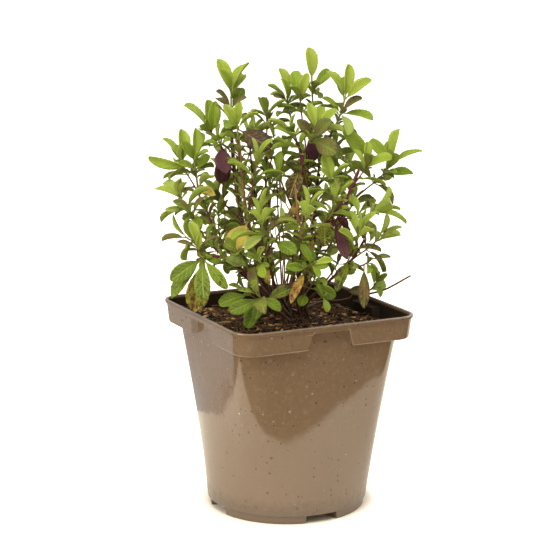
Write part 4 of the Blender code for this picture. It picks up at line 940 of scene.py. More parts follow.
def sproutLeaves(grown, room, leaves, draw):
    plan = sproutPlan
    count = 0
    for shoot in grown:
        if shoot["stem"] == "runner":
            continue
        last = len(shoot["path"]) - 1
        places = [(k, plan["size"], plan["age"]) for pair, k in shoot["nodes"] if pair > 0 and k > 1]
        if shoot["parent"] is None:
            k = plan["first"]
            while k < last - 2:
                if all(abs(k - other) > plan["apart"] for _, other in shoot["nodes"]):
                    places.append((k, plan["lowerSize"], plan["lowerAge"]))
                k += plan["spacing"] + draw.random()
        for k, size, age in places:
            root = coarsePoint(shoot, k)
            if root.z < plan["lowest"]:
                continue
            axis = (coarsePoint(shoot, min(k + 0.1, last)) - coarsePoint(shoot, k - 0.1)).normalized()
            start = draw.uniform(0, 360)
            for side in range(3):
                around = math.radians(start + 120 * side + draw.uniform(-25, 25))
                outward = math.radians(draw.uniform(*plan["lift"]))
                length = draw.uniform(*size) * mm
                width, arch = draw.uniform(*plan["width"]), math.radians(draw.uniform(*plan["arch"]))
                form = (width, arch, 0.25, 0.1 * mm)
                shape = sideLeaf(root, axis, around, outward, None, length, form, age)
                leaf = settle(room, shoot, shape, plan["tries"])
                if leaf:
                    leaf["shift"] = finePoint(shoot, k) - root
                    leaves[shoot["stem"]].append(leaf)
                    count += 1
    return count


def addObject(name, data):
    made = bpy.data.objects.new(name, data)
    bpy.context.scene.collection.objects.link(made)
    return made


def toMesh(name, form):
    mesh = bpy.data.meshes.new(name)
    form.to_mesh(mesh)
    form.free()
    return mesh


# An object's mesh with its modifiers or curve bevel applied
def finishedMesh(thing):
    bpy.context.view_layer.update()
    return bpy.data.meshes.new_from_object(thing.evaluated_get(bpy.context.evaluated_depsgraph_get()))


# One piece of the object: its mesh and materials, the slot (not used) and the nodes that it replaces
def finishPiece(name, form, materials, slot, *nodes):
    mesh = toMesh(name, form)
    piece = addObject(name, mesh)
    for material in materials:
        mesh.materials.append(material)
    mesh.shade_smooth()
    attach(piece, "root")
    if nodes:
        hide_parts(*nodes)
    return piece


def buildLeaves(name, leaves, draw):
    form = bmesh.new()
    form.loops.layers.uv.new("leafMap")
    layers = [form.verts.layers.float_color.new(layer) for layer in ("leafLook", "leafMood")]
    for leaf in leaves:
        growLeaf(form, layers, leaf, draw)
    piece = finishPiece(name + "_leaves", form, [leafUpper, leafUnder], "leafy_stem", name)
    skin = piece.modifiers.new("thickness", "SOLIDIFY")
    skin.thickness = leafPlan["thickness"]
    skin.offset = 0
    skin.material_offset = 1


twigPlan = dict(step=2 * mm, sides=6, taper=0.35, squareness=0.05, dryRise=0.35, greenRise=0.8)
stemPlan = dict(
    sides=8, shootSides=6, step=0.5, swelling=0.28, nodeReach=0.32, squareness=0.13, full=1.3, bare=0.68,
)


# A tube drawn along a path ring by ring
def sweep(form, layer, path, radii, sides, paints, squareness=0.0):
    ring = bmesh.ops.create_circle(form, cap_ends=True, segments=sides, radius=1)["verts"]
    for number, vert in enumerate(ring):
        vert.co *= 1 - squareness * (number % 2)
    ahead = (path[1] - path[0]).normalized()
    turned = ahead.to_track_quat("Z", "Y")
    place = Matrix.Identity(4)
    edges = {edge for vert in ring for edge in vert.link_edges}
    for i, centre in enumerate(path):
        if i:
            made = bmesh.ops.extrude_edge_only(form, edges=list(edges))["geom"]
            ring = [part for part in made if isinstance(part, bmesh.types.BMVert)]
            fresh = set(ring)
            edges = {part for part in made if isinstance(part, bmesh.types.BMEdge)}
            edges = {edge for edge in edges if set(edge.verts) <= fresh}
        toNext = (path[min(i + 1, len(path) - 1)] - path[max(i - 1, 0)]).normalized()
        turned = ahead.rotation_difference(toNext) @ turned
        ahead = toNext
        there = Matrix.Translation(centre) @ turned.to_matrix().to_4x4() @ Matrix.Scale(radii[i], 4)
        bmesh.ops.transform(form, matrix=there @ place.inverted(), verts=ring)
        place = there
        for vert in ring:
            vert[layer] = paints[i]
    bmesh.ops.edgeloop_fill(form, edges=list(edges))


# Dry twigs that stand among the stems: the stem they belong to, girth, dryness and their points
twigs = [
    ("red_centre", 0.75, 0.8, [
        (6, 40, 18), (9, 66, 23), (11.6, 82, 26), (9.5, 92, 26), (7.8, 105, 26), (5.6, 119, 26),
    ]),
    ("red_centre", 0.55, 0.7, [(9.5, 91, 26), (1.9, 97.8, 28), (-3, 109, 28), (-6, 122, 28), (-8, 134, 28)]),
    ("front_right", 0.7, 0.75, [(9, 36, 44), (15, 60, 38), (18.5, 76, 36), (20.5, 86, 37), (23.2, 98.4, 38)]),
    ("front_right", 0.5, 0.8, [(23.2, 98, 38), (20, 101.5, 38), (18, 106, 38)]),
    ("front_right", 0.5, 0.8, [(23.2, 98, 38), (28, 101, 38), (33, 106, 39), (37.3, 110, 40)]),
    ("front_centre", 0.55, 0.35, [
        (-3, 30, 44), (5.2, 56, 50), (0.3, 58.4, 54), (-6, 65.6, 60), (-9.3, 76.9, 66), (-10.5, 94.6, 70),
    ]),
    ("front_left", 0.6, 0.3, [(-43, 51, 52), (-57.5, 58.3, 54), (-67, 58.8, 55), (-77, 52, 56.5)]),
    ("low_centre", 0.7, 0.9, [(-2, 24, 46), (-3.5, 44, 50), (-2.5, 57, 50)]),
    ("tall_left", 1.15, 0.05, [(-40, 92, 16), (-41.5, 109, 18), (-44.4, 139, 18), (-46.9, 172, 14)]),
    ("brown_left", 1.1, 0.45, [(-35, 92, 32), (-37, 118, 36), (-38.5, 140, 36), (-40, 157, 33)]),
    ("red_right", 1.35, -1.0, [(47, 92, 20), (50, 104, 26), (55, 119, 27), (61, 132, 24)]),
    ("mid_right", 1.35, -1.0, [(37, 91, 46), (42, 97, 51), (48, 106, 52)]),
    ("front_centre", 0.9, 0.3, [(-14, 20, 16), (-20, 46, 24), (-20.5, 72, 26), (-20, 102, 24)]),
    ("front_centre", 0.8, 0.5, [(-6, 24, 26), (-11, 50, 34), (-13, 68, 34), (-14, 92, 32)]),
    ("brown_left", 0.85, 0.2, [(-10, 22, 10), (-17, 42, 12), (-18, 62, 12), (-17, 84, 10), (-15, 110, 8)]),
    ("tall_left", 0.9, 0.5, [(-13, 22, 12), (-26, 56, 12), (-33, 78, 10), (-35, 96, 8), (-37, 124, 6)]),
    ("tall_left", 0.95, 0.1, [(-11, 24, 2), (-24, 60, 2), (-28, 84, 0), (-29, 112, -4), (-30, 140, -6)]),
    ("red_centre", 0.8, 0.6, [(-2, 22, 24), (3, 48, 32), (10, 66, 30), (13, 88, 26), (12, 112, 22)]),
    ("red_centre", 1.05, 1.0, [(3, 30, 28), (8, 70, 36), (9, 94, 38), (7, 119, 38)]),
    ("mid_right", 0.8, 0.4, [(8, 24, 22), (16, 46, 28), (22, 66, 28), (25, 90, 24)]),
    ("red_right", 0.85, 0.3, [(12, 24, 8), (26, 50, 14), (34, 64, 16), (43, 78, 16), (50, 96, 14)]),
    ("left_arch", 0.8, 0.3, [(-16, 26, 18), (-40, 62, 18), (-50, 80, 14), (-53, 98, 12), (-54, 120, 10)]),
    ("left_low", 0.75, 0.6, [(-14, 24, 24), (-36, 52, 34), (-46, 66, 34)]),
    ("back_left", 0.9, 0.2, [(-4, 24, -4), (-6, 70, -24), (-8, 110, -30), (-8, 140, -34)]),
    ("back_right", 0.9, 0.4, [(12, 24, 0), (30, 70, -16), (40, 104, -20), (44, 130, -22)]),
    ("thin_upright", 0.8, 0.7, [(-2, 24, 8), (-2, 60, 4), (-4, 92, 6), (-6, 118, 4), (-8, 140, 2)]),
]


def buildStems(name, grown, draw):
    form = bmesh.new()
    layer = form.verts.layers.float_color.new("stemLook")
    for shoot in grown:
        if shoot["stem"] != name:
            continue
        main = shoot["parent"] is None
        last = len(shoot["path"]) - 1
        count = round(last / stemPlan["step"])
        places = [min(last, n * last / count) for n in range(count + 1)]
        path, radii, paints = [], [], []
        for k in places:
            swell = sum(math.exp(-(((k - node) / stemPlan["nodeReach"]) ** 2)) for _, node in shoot["nodes"])
            path.append(finePoint(shoot, k))
            least = girthAt(shoot, 0) * (stemPlan["bare"] if main and not shoot["leaves"] else 0)
            radius = max(girthAt(shoot, k) * stemPlan["full"], least)
            radii.append(radius * (1 + stemPlan["swelling"] * min(1.0, swell)))
            rise = k / last if main else 0.45 + 0.55 * k / last
            bare = 0.0 if shoot["leaves"] or name == "runner" else 1.0
            paints.append((rise if name != "runner" else 0.8 * rise, bare, 0.0, draw.random()))
        if not shoot["leaves"]:
            paints[-1] = (1.0, 1.0, 1.0, 0.5)
            radii[-1] *= 0.97
        sides = stemPlan["sides" if main else "shootSides"]
        sweep(form, layer, path, radii, sides, paints, stemPlan["squareness"])
    for stem, girth, dryness, points in twigs:
        if stem == name:
            path = smoothPath([seen(*p) for p in points], twigPlan["step"])
            radii = [girth * mm * (1 - twigPlan["taper"] * n / len(path)) for n in range(len(path))]
            rise = twigPlan["dryRise" if dryness > 0 else "greenRise"]
            paints = [(rise, -dryness, 0.0, draw.random()) for _ in path]
            sweep(form, layer, path, radii, twigPlan["sides"], paints, twigPlan["squareness"])
    bmesh.ops.recalc_face_normals(form, faces=form.faces[:])
    finishPiece(name + "_stem", form, [stemSkin], "leafy_stem", name)


# Sets a node's sockets, by name or number, to values or to other nodes' outputs
def fill(tree, made, sockets):
    for key, value in sockets.items():
        if isinstance(value, bpy.types.NodeSocket):
            tree.links.new(value, made.inputs[key])
        else:
            made.inputs[key].default_value = value
    return made


def put(tree, kind, sockets=None, **settings):
    made = tree.nodes.new("ShaderNode" + kind)
    for name, value in settings.items():
        setattr(made, name, value)
    return fill(tree, made, sockets or {})


def objectPlace(tree):
    return put(tree, "TexCoord").outputs["Object"]


def calc(tree, operation, a, b=0.0, clamp=False):
    return put(tree, "Math", {0: a, 1: b}, operation=operation, use_clamp=clamp).outputs[0]


def plus(tree, a, b, clamp=False):
    return calc(tree, "ADD", a, b, clamp)


def minus(tree, a, b, clamp=False):
    return calc(tree, "SUBTRACT", a, b, clamp)


def times(tree, a, b):
    return calc(tree, "MULTIPLY", a, b)


# How far a value is from its middle, times an amount
def swing(tree, value, amount, middle=0.5):
    return times(tree, minus(tree, value, middle), amount)


# From colour a to colour b by a share
def mixed(tree, share, a, b):
    a, b = [(*colour, 1) if isinstance(colour, tuple) else colour for colour in (a, b)]
    return put(tree, "Mix", {0: share, 6: a, 7: b}, data_type="RGBA").outputs[2]


# 0 to 1 as a value goes from low to high
def ease(tree, value, low, high):
    return put(tree, "MapRange", {0: value, 1: low, 2: high}, interpolation_type="SMOOTHSTEP").outputs[0]


def ramp(tree, value, stops):
    made = put(tree, "ValToRGB", {0: value})
    band = made.color_ramp.elements
    while len(band) < len(stops):
        band.new(0.5)
    for stop, (place, colour) in zip(band, stops):
        stop.position = place
        stop.color = (*colour, 1)
    return made.outputs[0]


def noisy(tree, vector, scale, detail=3.0, roughness=0.55):
    sockets = {"Vector": vector, "Scale": scale, "Detail": detail, "Roughness": roughness}
    return put(tree, "TexNoise", sockets).outputs[0]


def newMaterial(name, roughness=0.5, **plain):
    made = bpy.data.materials.new(name)
    made.use_nodes = True
    shader = made.node_tree.nodes["Principled BSDF"]
    shader.inputs["Roughness"].default_value = roughness
    for socket, value in plain.items():
        shader.inputs[socket.replace("_", " ")].default_value = value
    return made, made.node_tree, shader


def newGroup(name, sockets, results):
    group = bpy.data.node_groups.new(name, "ShaderNodeTree")
    for label, value in sockets.items():
        kind = "NodeSocketVector" if value is None else "NodeSocketFloat"
        socket = group.interface.new_socket(label, in_out="INPUT", socket_type=kind)
        if value is not None:
            socket.default_value = value
    for label in results:
        group.interface.new_socket(label, in_out="OUTPUT", socket_type="NodeSocketFloat")
    return group, group.nodes.new("NodeGroupInput").outputs, group.nodes.new("NodeGroupOutput").inputs


def use(tree, group, sockets):
    made = tree.nodes.new("ShaderNodeGroup")
    made.node_tree = group
    return fill(tree, made, sockets).outputs


# The channels of a vertex colour, alpha last
def painted(tree, name):
    read = put(tree, "Attribute", attribute_name=name)
    return [*put(tree, "SeparateColor", {0: read.outputs["Color"]}).outputs, read.outputs["Alpha"]]


# Joins a colour, a roughness and, where there is one, a bump to the shader
def dress(tree, shader, colour, rough, height=None, strength=0, depth=0):
    tree.links.new(colour, shader.inputs["Base Color"])
    tree.links.new(rough, shader.inputs["Roughness"])
    if height:
        bump = put(tree, "Bump", {"Strength": strength, "Distance": depth, "Height": height})
        tree.links.new(bump.outputs[0], shader.inputs["Normal"])


# Midrib, side veins and the small net between them, on a leaf's own map
def veinGroup():
    sockets = {"Map": None, "Pairs": 7.0, "Slant": 0.26, "Net": 26.0}
    group, given, result = newGroup("leafVeins", sockets, ("Veins", "Relief", "Edge", "Along"))
    parts = put(group, "SeparateXYZ", {0: given["Map"]}).outputs
    across = calc(group, "ABSOLUTE", minus(group, times(group, parts[0], 2.0), 1.0))
    along = parts[1]
    midrib = ease(group, across, 0.11, 0.02)
    bent = times(group, calc(group, "POWER", across, 0.8), given["Slant"])
    phase = times(group, minus(group, along, bent), given["Pairs"])
    wave = calc(group, "ABSOLUTE", calc(group, "SINE", times(group, phase, math.pi)))
    thin = ease(group, wave, 0.26, 0.04)
    inside = ease(group, across, 0.98, 0.7)
    side = times(group, times(group, thin, inside), ease(group, along, 0.14, 0.24))
    stretched = put(group, "CombineXYZ", {0: across, 1: times(group, along, 2.2)}).outputs[0]
    cells = put(group, "TexVoronoi", {"Vector": stretched, "Scale": given["Net"]}, feature="DISTANCE_TO_EDGE")
    net = cells.outputs[0]
    fine = ease(group, net, 0.09, 0.02)
    veins = calc(group, "MAXIMUM", midrib, times(group, side, 0.8))
    veins = calc(group, "MAXIMUM", veins, times(group, fine, 0.22))
    quilt = times(group, calc(group, "POWER", wave, 0.6), inside)
    height = minus(group, times(group, quilt, 0.7), midrib)
    height = plus(group, height, times(group, minus(group, net, fine), 0.35))
    for label, value in (("Veins", veins), ("Relief", height), ("Edge", across), ("Along", along)):
        group.links.new(value, result[label])
    return group


# Small round specks scattered over a surface
def speckGroup():
    sockets = {"Vector": None, "Scale": 200.0, "Size": 0.3, "Share": 0.2}
    group, given, result = newGroup("specks", sockets, ("Mask",))
    cells = put(group, "TexVoronoi", {"Vector": given["Vector"], "Scale": given["Scale"]})
    parts = put(group, "SeparateColor", {0: cells.outputs["Color"]}).outputs
    chosen = calc(group, "LESS_THAN", parts[0], given["Share"])
    size = times(group, given["Size"], plus(group, times(group, parts[1], 0.7), 0.3))
    near = minus(group, size, cells.outputs["Distance"])
    mask = times(group, chosen, ease(group, near, 0.0, 0.06))
    group.links.new(mask, result["Mask"])
    return group


def speckled(tree, place, scale, size, share):
    return use(tree, specks, {"Vector": place, "Scale": scale, "Size": size, "Share": share})["Mask"]


leafColours = dict(
    deep=(0.085, 0.13, 0.006), mid=(0.235, 0.335, 0.013), lime=(0.385, 0.46, 0.05),
    purple=(0.05, 0.009, 0.02),
    bronze=(0.17, 0.11, 0.03), plum=(0.14, 0.032, 0.055), blotch=(0.045, 0.018, 0.015),
    yellow=(0.5, 0.38, 0.06),
    rust=(0.28, 0.09, 0.02), vein=(0.36, 0.43, 0.07), frost=(0.44, 0.49, 0.15), under=(0.32, 0.4, 0.08),
)


def leafMaterial(name, underside):
    colours = leafColours
    made, tree, shader = newMaterial(name, 0.5, Specular_IOR_Level=0.26 if not underside else 0.1)
    place = objectPlace(tree)
    leafMap = put(tree, "UVMap", uv_map="leafMap").outputs[0]
    youth, purple, yellow, blotch = painted(tree, "leafLook")
    pick, frost, second, _ = painted(tree, "leafMood")
    veins = use(tree, leafVeins, {"Map": leafMap, "Pairs": 7.0, "Slant": 0.26, "Net": 26.0})
    cloud = noisy(tree, place, 95.0)
    patch = noisy(tree, place, 240.0, 2.0)
    spot = noisy(tree, place, 620.0, 2.0)
    tone = plus(tree, plus(tree, youth, 0.1), swing(tree, cloud, 0.55))
    tone = minus(tree, tone, swing(tree, pick, 0.2))
    # painted shade: the leaf's relief also darkens its colour, so the quilting between the veins looks shaded
    tone = minus(tree, tone, times(tree, veins["Relief"], 0.28), clamp=True)
    colour = ramp(tree, tone, [(0.0, colours["deep"]), (0.5, colours["mid"]), (1.0, colours["lime"])])
    # yellow comes in from the edges
    yellowing = plus(tree, yellow, swing(tree, cloud, 0.9, 0.55))
    yellowing = times(tree, ease(tree, yellowing, 0.25, 0.8), ease(tree, yellow, 0.0, 0.15))
    rusty = times(tree, ease(tree, patch, 0.35, 0.6), ease(tree, blotch, 0.05, 0.45))
    rusty = calc(tree, "MAXIMUM", rusty, times(tree, ease(tree, patch, 0.5, 0.72), times(tree, second, 0.3)))
    ripe = mixed(tree, rusty, colours["yellow"], colours["rust"])
    colour = mixed(tree, yellowing, colour, ripe)
    # purple on the blade, strongest at the edge
    edge = calc(tree, "POWER", veins["Edge"], 3.0)
    stained = plus(tree, purple, swing(tree, cloud, 1.1))
    stained = plus(tree, stained, times(tree, edge, 0.22))
    stained = times(tree, ease(tree, stained, 0.3, 0.8), ease(tree, purple, 0.0, 0.2))
    wine = mixed(tree, patch, colours["purple"], colours["plum"])
    wine = mixed(tree, ease(tree, purple, 0.4, 0.75), colours["bronze"], wine)
    colour = mixed(tree, times(tree, stained, 0.93), colour, wine)
    # dark blotches keep clear of the veins
    dots = plus(tree, times(tree, spot, 0.55), times(tree, patch, 0.45))
    dots = plus(tree, dots, swing(tree, veins["Along"], 0.16, 0.6))
    dots = minus(tree, dots, times(tree, veins["Veins"], 0.3))
    dots = plus(tree, dots, times(tree, blotch, 0.3))
    dots = times(tree, ease(tree, dots, 0.62, 0.72), ease(tree, blotch, 0.0, 0.15))
    colour = mixed(tree, times(tree, dots, 0.9), colour, colours["blotch"])
    # veins
    pale = mixed(tree, ease(tree, purple, 0.4, 0.8), colours["vein"], colours["plum"])
    strength = 0.4 if not underside else 0.7
    colour = mixed(tree, times(tree, veins["Veins"], strength), colour, pale)
    silver = times(tree, frost, plus(tree, times(tree, cloud, 0.5), 0.2))
    green = minus(tree, 1.0, purple, clamp=True)
    silver = times(tree, silver, green)
    colour = mixed(tree, silver, colour, colours["frost"])
    if underside:
        turned = times(tree, green, minus(tree, 0.6, times(tree, yellow, 0.4)))
        colour = mixed(tree, turned, colour, colours["under"])
    sheen = plus(tree, times(tree, patch, 0.2), 0.34 if not underside else 0.5)
    sheen = minus(tree, sheen, times(tree, ease(tree, purple, 0.6, 1.0), 0.12))
    grain = plus(tree, veins["Relief"], times(tree, spot, 0.35))
    dress(tree, shader, colour, sheen, grain, 0.8, -0.5 * mm if underside else 0.55 * mm)
    return made


def stemMaterial():
    made, tree, shader = newMaterial("stem skin", 0.5, Specular_IOR_Level=0.25)
    place = objectPlace(tree)
    rise, bare, cut, _ = painted(tree, "stemLook")
    stretched = put(tree, "Mapping", {"Vector": place, "Scale": (1.0, 1.0, 0.22)}).outputs[0]
    bark = noisy(tree, stretched, 520.0, 4.0, 0.65)
    cloud = noisy(tree, place, 75.0)
    height = plus(tree, rise, swing(tree, cloud, 0.4))
    colour = ramp(tree, height, [
        (0.0, (0.05, 0.028, 0.012)), (0.3, (0.085, 0.042, 0.017)), (0.6, (0.09, 0.016, 0.014)),
        (0.8, (0.12, 0.05, 0.02)), (1.0, (0.2, 0.23, 0.04)),
    ])
    red = mixed(tree, bark, (0.05, 0.006, 0.008), (0.16, 0.02, 0.028))
    colour = mixed(tree, times(tree, ease(tree, bare, 0.2, 0.9), ease(tree, rise, 0.35, 0.65)), colour, red)
    dry = mixed(tree, bark, (0.12, 0.045, 0.018), (0.36, 0.17, 0.07))
    colour = mixed(tree, ease(tree, bare, -0.2, -0.7), colour, dry)
    colour = mixed(tree, times(tree, ease(tree, bark, 0.55, 0.75), 0.35), colour, (0.2, 0.12, 0.07))
    colour = mixed(tree, ease(tree, cut, 0.5, 0.9), colour, (0.55, 0.42, 0.3))
    tree.links.new(colour, shader.inputs["Base Color"])
    tree.links.new(plus(tree, times(tree, bark, 0.35), 0.3), shader.inputs["Roughness"])
    bump = put(tree, "Bump", {"Strength": 0.6, "Distance": 0.3 * mm, "Height": bark})
    tree.links.new(bump.outputs[0], shader.inputs["Normal"])
    return made


leafVeins = veinGroup()
specks = speckGroup()
leafUpper = leafMaterial("leaf upper", False)
leafUnder = leafMaterial("leaf under", True)
stemSkin = stemMaterial()
print("plant materials made")

grown, leaves, room = layOut()
print("plant laid out:", sum(len(found) for found in leaves.values()), "leaves")
print("small leaves:", sproutLeaves(grown, room, leaves, random.Random(7)))
for number, name in enumerate(stems):
    buildLeaves(name, leaves[name], random.Random(100 + number))
    buildStems(name, grown, random.Random(200 + number))
print("stems and leaves built")

# The pot's outline at one height, side by side. Each side has plain columns, a notch and a rounded corner.
potPlan = dict(
    plain=3, inside=6, cornerSteps=12, bodyLevels=16, skirtLevels=5, floor=8.7 * mm,
    notchEnd=((-0.5, 0.0), (-0.1, 0.06), (0.15, 0.25), (0.75, 0.85), (1.0, 0.97), (1.5, 1.0)),
    notchTop=((-1.0, 1.0), (-0.6, 0.9), (-0.25, 0.45), (0.0, 0.08), (0.3, 0.0)),
    foot=((0.0, -0.9), (0.12, -0.55), (0.45, -0.3), (3.0, -0.18), (6.1, -0.05), (6.7, 0.05), (6.95, 0.3), (7.0, 1.2),
          (7.12, 1.6), (7.4, 1.82), (7.9, 1.9)),
    skirtEdge=((-0.1, -1.6), (-0.12, -0.9), (0.08, -0.4), (0.4, -0.12), (0.9, 0.0)),
    bead=((0.0, 0.25), (0.15, 0.9), (0.4, 1.3), (0.95, 1.38), (1.12, 1.05), (1.3, 1.4), (2.0, 1.5), (2.2, 1.2),
          (2.4, 1.46), (2.85, 1.3), (3.1, 0.9), (3.2, 0.3), (3.2, -0.5), (3.05, -1.05), (2.7, -1.4), (1.8, -1.5)),
)


def notchHalfAt(z):
    share = (notchTop - z) / (notchTop - skirtBottom)
    return notchTopHalf + (notchBottomHalf - notchTopHalf) * min(1.0, max(0.0, share))


def potOutline(z, half, corner, roundness=0.0, sunk=None, depth=0.0, inset=0.0):
    wide = notchHalfAt(z) + inset
    ends = [(-wide + run * mm, share) for run, share in potPlan["notchEnd"]]
    plainEnd, plainStart = ends[0][0], corner - half
    count = potPlan["plain"]
    plain = [plainStart + (plainEnd - plainStart) * (n + 1) / (count + 1) for n in range(count)]
    inner = ends[-1][0]
    middle = [inner * (1 - 2 * (n + 1) / (potPlan["inside"] + 1)) for n in range(potPlan["inside"])]
    columns = [(x, 0.0) for x in plain] + ends + [(x, 1.0) for x in middle]
    columns += [(-x, share) for x, share in reversed(ends)] + [(-x, 0.0) for x in reversed(plain)]
    row = [Vector((x, -half + (half - (sunk or half)) * depth * share, 0)) for x, share in columns]
    centre = Vector((half - corner, corner - half, 0))
    for step in range(potPlan["cornerSteps"] + 1):
        a = -math.pi / 2 * (1 - step / potPlan["cornerSteps"])
        row.append(centre + Vector((math.cos(a), math.sin(a), 0)) * corner)
    row = [p * (1 + roundness * (half / p.length - 1)) for p in row]
    turns = [Matrix.Rotation(side * math.pi / 2, 3, "Z") for side in range(4)]
    return [turn @ p + Vector((0, 0, z)) for turn in turns for p in row]


def startRing(form, points):
    ring = bmesh.ops.create_circle(form, cap_ends=False, segments=len(points), radius=1)["verts"]
    for vert, point in zip(ring, points):
        vert.co = point
    return ring


# Draws a ring on to its next points and gives the new ring in the same order
def nextRing(form, ring, points, material=0):
    edges = [form.edges.get((a, b)) for a, b in zip(ring, ring[1:] + ring[:1])]
    made = bmesh.ops.extrude_edge_only(form, edges=edges)["geom"]
    fresh = {part for part in made if isinstance(part, bmesh.types.BMVert)}
    for part in made:
        if isinstance(part, bmesh.types.BMFace):
            part.material_index = material
    ring = [next(e.other_vert(vert) for e in vert.link_edges if e.other_vert(vert) in fresh) for vert in ring]
    for vert, point in zip(ring, points):
        vert.co = point
    return ring


def closeRing(form, ring, material=0):
    edges = [form.edges.get((a, b)) for a, b in zip(ring, ring[1:] + ring[:1])]
    for face in bmesh.ops.edgeloop_fill(form, edges=edges)["faces"]:
        face.material_index = material


# The body goes from a rounded square under the skirt to a circle at the foot
def bodyOutline(z, inset=0.0):
    share = (z - footHeight) / (skirtBottom - footHeight)
    half = bodyBottomRadius + (bodyTopHalf - bodyBottomRadius) * share
    return half - inset, bodyTopCorner - inset, min(1.0, max(0.0, 1 - share))


def skirtOutline(z, out=0.0):
    share = max(0.0, (skirtTop - z) / (skirtTop - skirtBottom))
    return skirtTopHalf - skirtTaper * share + out, rimCorner - beadStandsOut + out


def outerOutlines():
    foot = bodyBottomRadius - footInset
    rings = [potOutline(z * mm, foot + out * mm, bodyTopCorner, 1) for z, out in potPlan["foot"]]
    low, high = rings[-1][0].z, skirtBottom - 0.1 * mm
    for n in range(1, potPlan["bodyLevels"] + 1):
        z = low + (high - low) * n / potPlan["bodyLevels"]
        rings.append(potOutline(z, *bodyOutline(z)))
    for up, out in potPlan["skirtEdge"]:
        z = skirtBottom + up * mm
        rings.append(potOutline(z, *skirtOutline(skirtBottom, out * mm), sunk=bodyOutline(z)[0], depth=1.0))
    low, high = rings[-1][0].z, notchTop - 1.0 * mm
    for n in range(1, potPlan["skirtLevels"]):
        z = low + (high - low) * n / potPlan["skirtLevels"]
        rings.append(potOutline(z, *skirtOutline(z), sunk=bodyOutline(z)[0], depth=1.0))
    for up, depth in potPlan["notchTop"]:
        z = notchTop + up * mm
        rings.append(potOutline(z, *skirtOutline(z), sunk=bodyOutline(z)[0], depth=depth))
    for up, out in potPlan["bead"]:
        rings.append(potOutline(skirtTop + up * mm, *skirtOutline(skirtTop, out * mm)))
    return rings


# An outline that follows the inside of the rim, sunk towards the body where the notches are
def rimOutline(z, inset, depth):
    return potOutline(z, *skirtOutline(z, -inset), sunk=bodyOutline(z, inset)[0], depth=depth, inset=inset)


# From the rim down the inside of the wall to the floor
def innerOutlines(inset):
    rings = []
    for up, depth in reversed(potPlan["notchTop"]):
        z = notchTop + up * mm + wall * 0.5
        rings.append(rimOutline(z, inset, depth))
    for z in (skirtBottom + wall + 4 * mm, skirtBottom + wall + 0.3 * mm):
        rings.append(rimOutline(z, inset, 1.0))
    low, high = potPlan["floor"], skirtBottom + wall
    for share in (1.0, 0.75, 0.5, 0.25, 0.0):
        z = low + (high - low) * share
        rings.append(potOutline(z, *bodyOutline(z, inset)))
    return rings


drainPlan = dict(beyond=4 * mm, flare=1.2 * mm, below=1 * mm, slotInset=12 * mm, slotThickness=5 * mm)


# Solids cut from the pot: a tapering drainage recess and a slot through its roof, on each side of the foot
def drainCutters():
    form = bmesh.new()
    plan = drainPlan
    front, rear = bodyBottomRadius + plan["beyond"], bodyBottomRadius - footInset - recessDepth
    slope = math.tan(recessSplay)
    for side in range(4):
        turned = Matrix.Rotation(side * math.pi / 2, 4, "Z")
        made = bmesh.ops.create_cube(form, size=1)["verts"]
        for vert in made:
            reach, hand, low = front if vert.co.y < 0 else rear, 1 if vert.co.x > 0 else -1, vert.co.z < 0
            wide = recessMouth + (reach - bodyBottomRadius) * slope + (plan["flare"] if low else 0)
            vert.co = Vector((wide * hand, -reach, -plan["below"] if low else footHeight))
        bmesh.ops.transform(form, matrix=turned, verts=made)
        made = bmesh.ops.create_cube(form, size=1)["verts"]
        bmesh.ops.scale(form, vec=(2 * drainSlot[1], 2 * drainSlot[0], plan["slotThickness"]), verts=made)
        roof = (0, -(bodyBottomRadius - plan["slotInset"]), footHeight + plan["flare"])
        bmesh.ops.translate(form, vec=roof, verts=made)
        bmesh.ops.transform(form, matrix=turned, verts=made)
    return form


def buildPot():
    form = bmesh.new()
    rings = outerOutlines()
    ring = startRing(form, rings[0])
    closeRing(form, ring)
    for points in rings[1:]:
        ring = nextRing(form, ring, points)
    for points in innerOutlines(wall):
        ring = nextRing(form, ring, points, 1)
    closeRing(form, ring, 1)
    bmesh.ops.recalc_face_normals(form, faces=form.faces[:])
    pot = finishPiece("moulded_pot", form, [potSkin, potInsideShadeAndDirt], "pot", "pot")
    drains = addObject("drains", toMesh("drains", drainCutters()))
    cut = pot.modifiers.new("drains", "BOOLEAN")
    cut.operation, cut.solver, cut.object, cut.use_self = "DIFFERENCE", "EXACT", drains, True
    whole = finishedMesh(pot)
    pot.modifiers.clear()
    pot.data = whole
    bpy.data.objects.remove(drains)
    whole.shade_smooth()
    whole.set_sharp_from_angle(angle=math.radians(38))


plasticPlan = dict(
    base=(0.176, 0.113, 0.065), deep=(0.148, 0.094, 0.052), soil=(0.06, 0.036, 0.018),
    pale=(0.62, 0.53, 0.42),
    # the inner wall's colours: a soil film with painted shade, far darker than the outer plastic, and its darker
    # streaks
    inside=(0.034, 0.022, 0.012), insideDirtShadeStreak=(0.017, 0.011, 0.006), roughness=0.05,
)


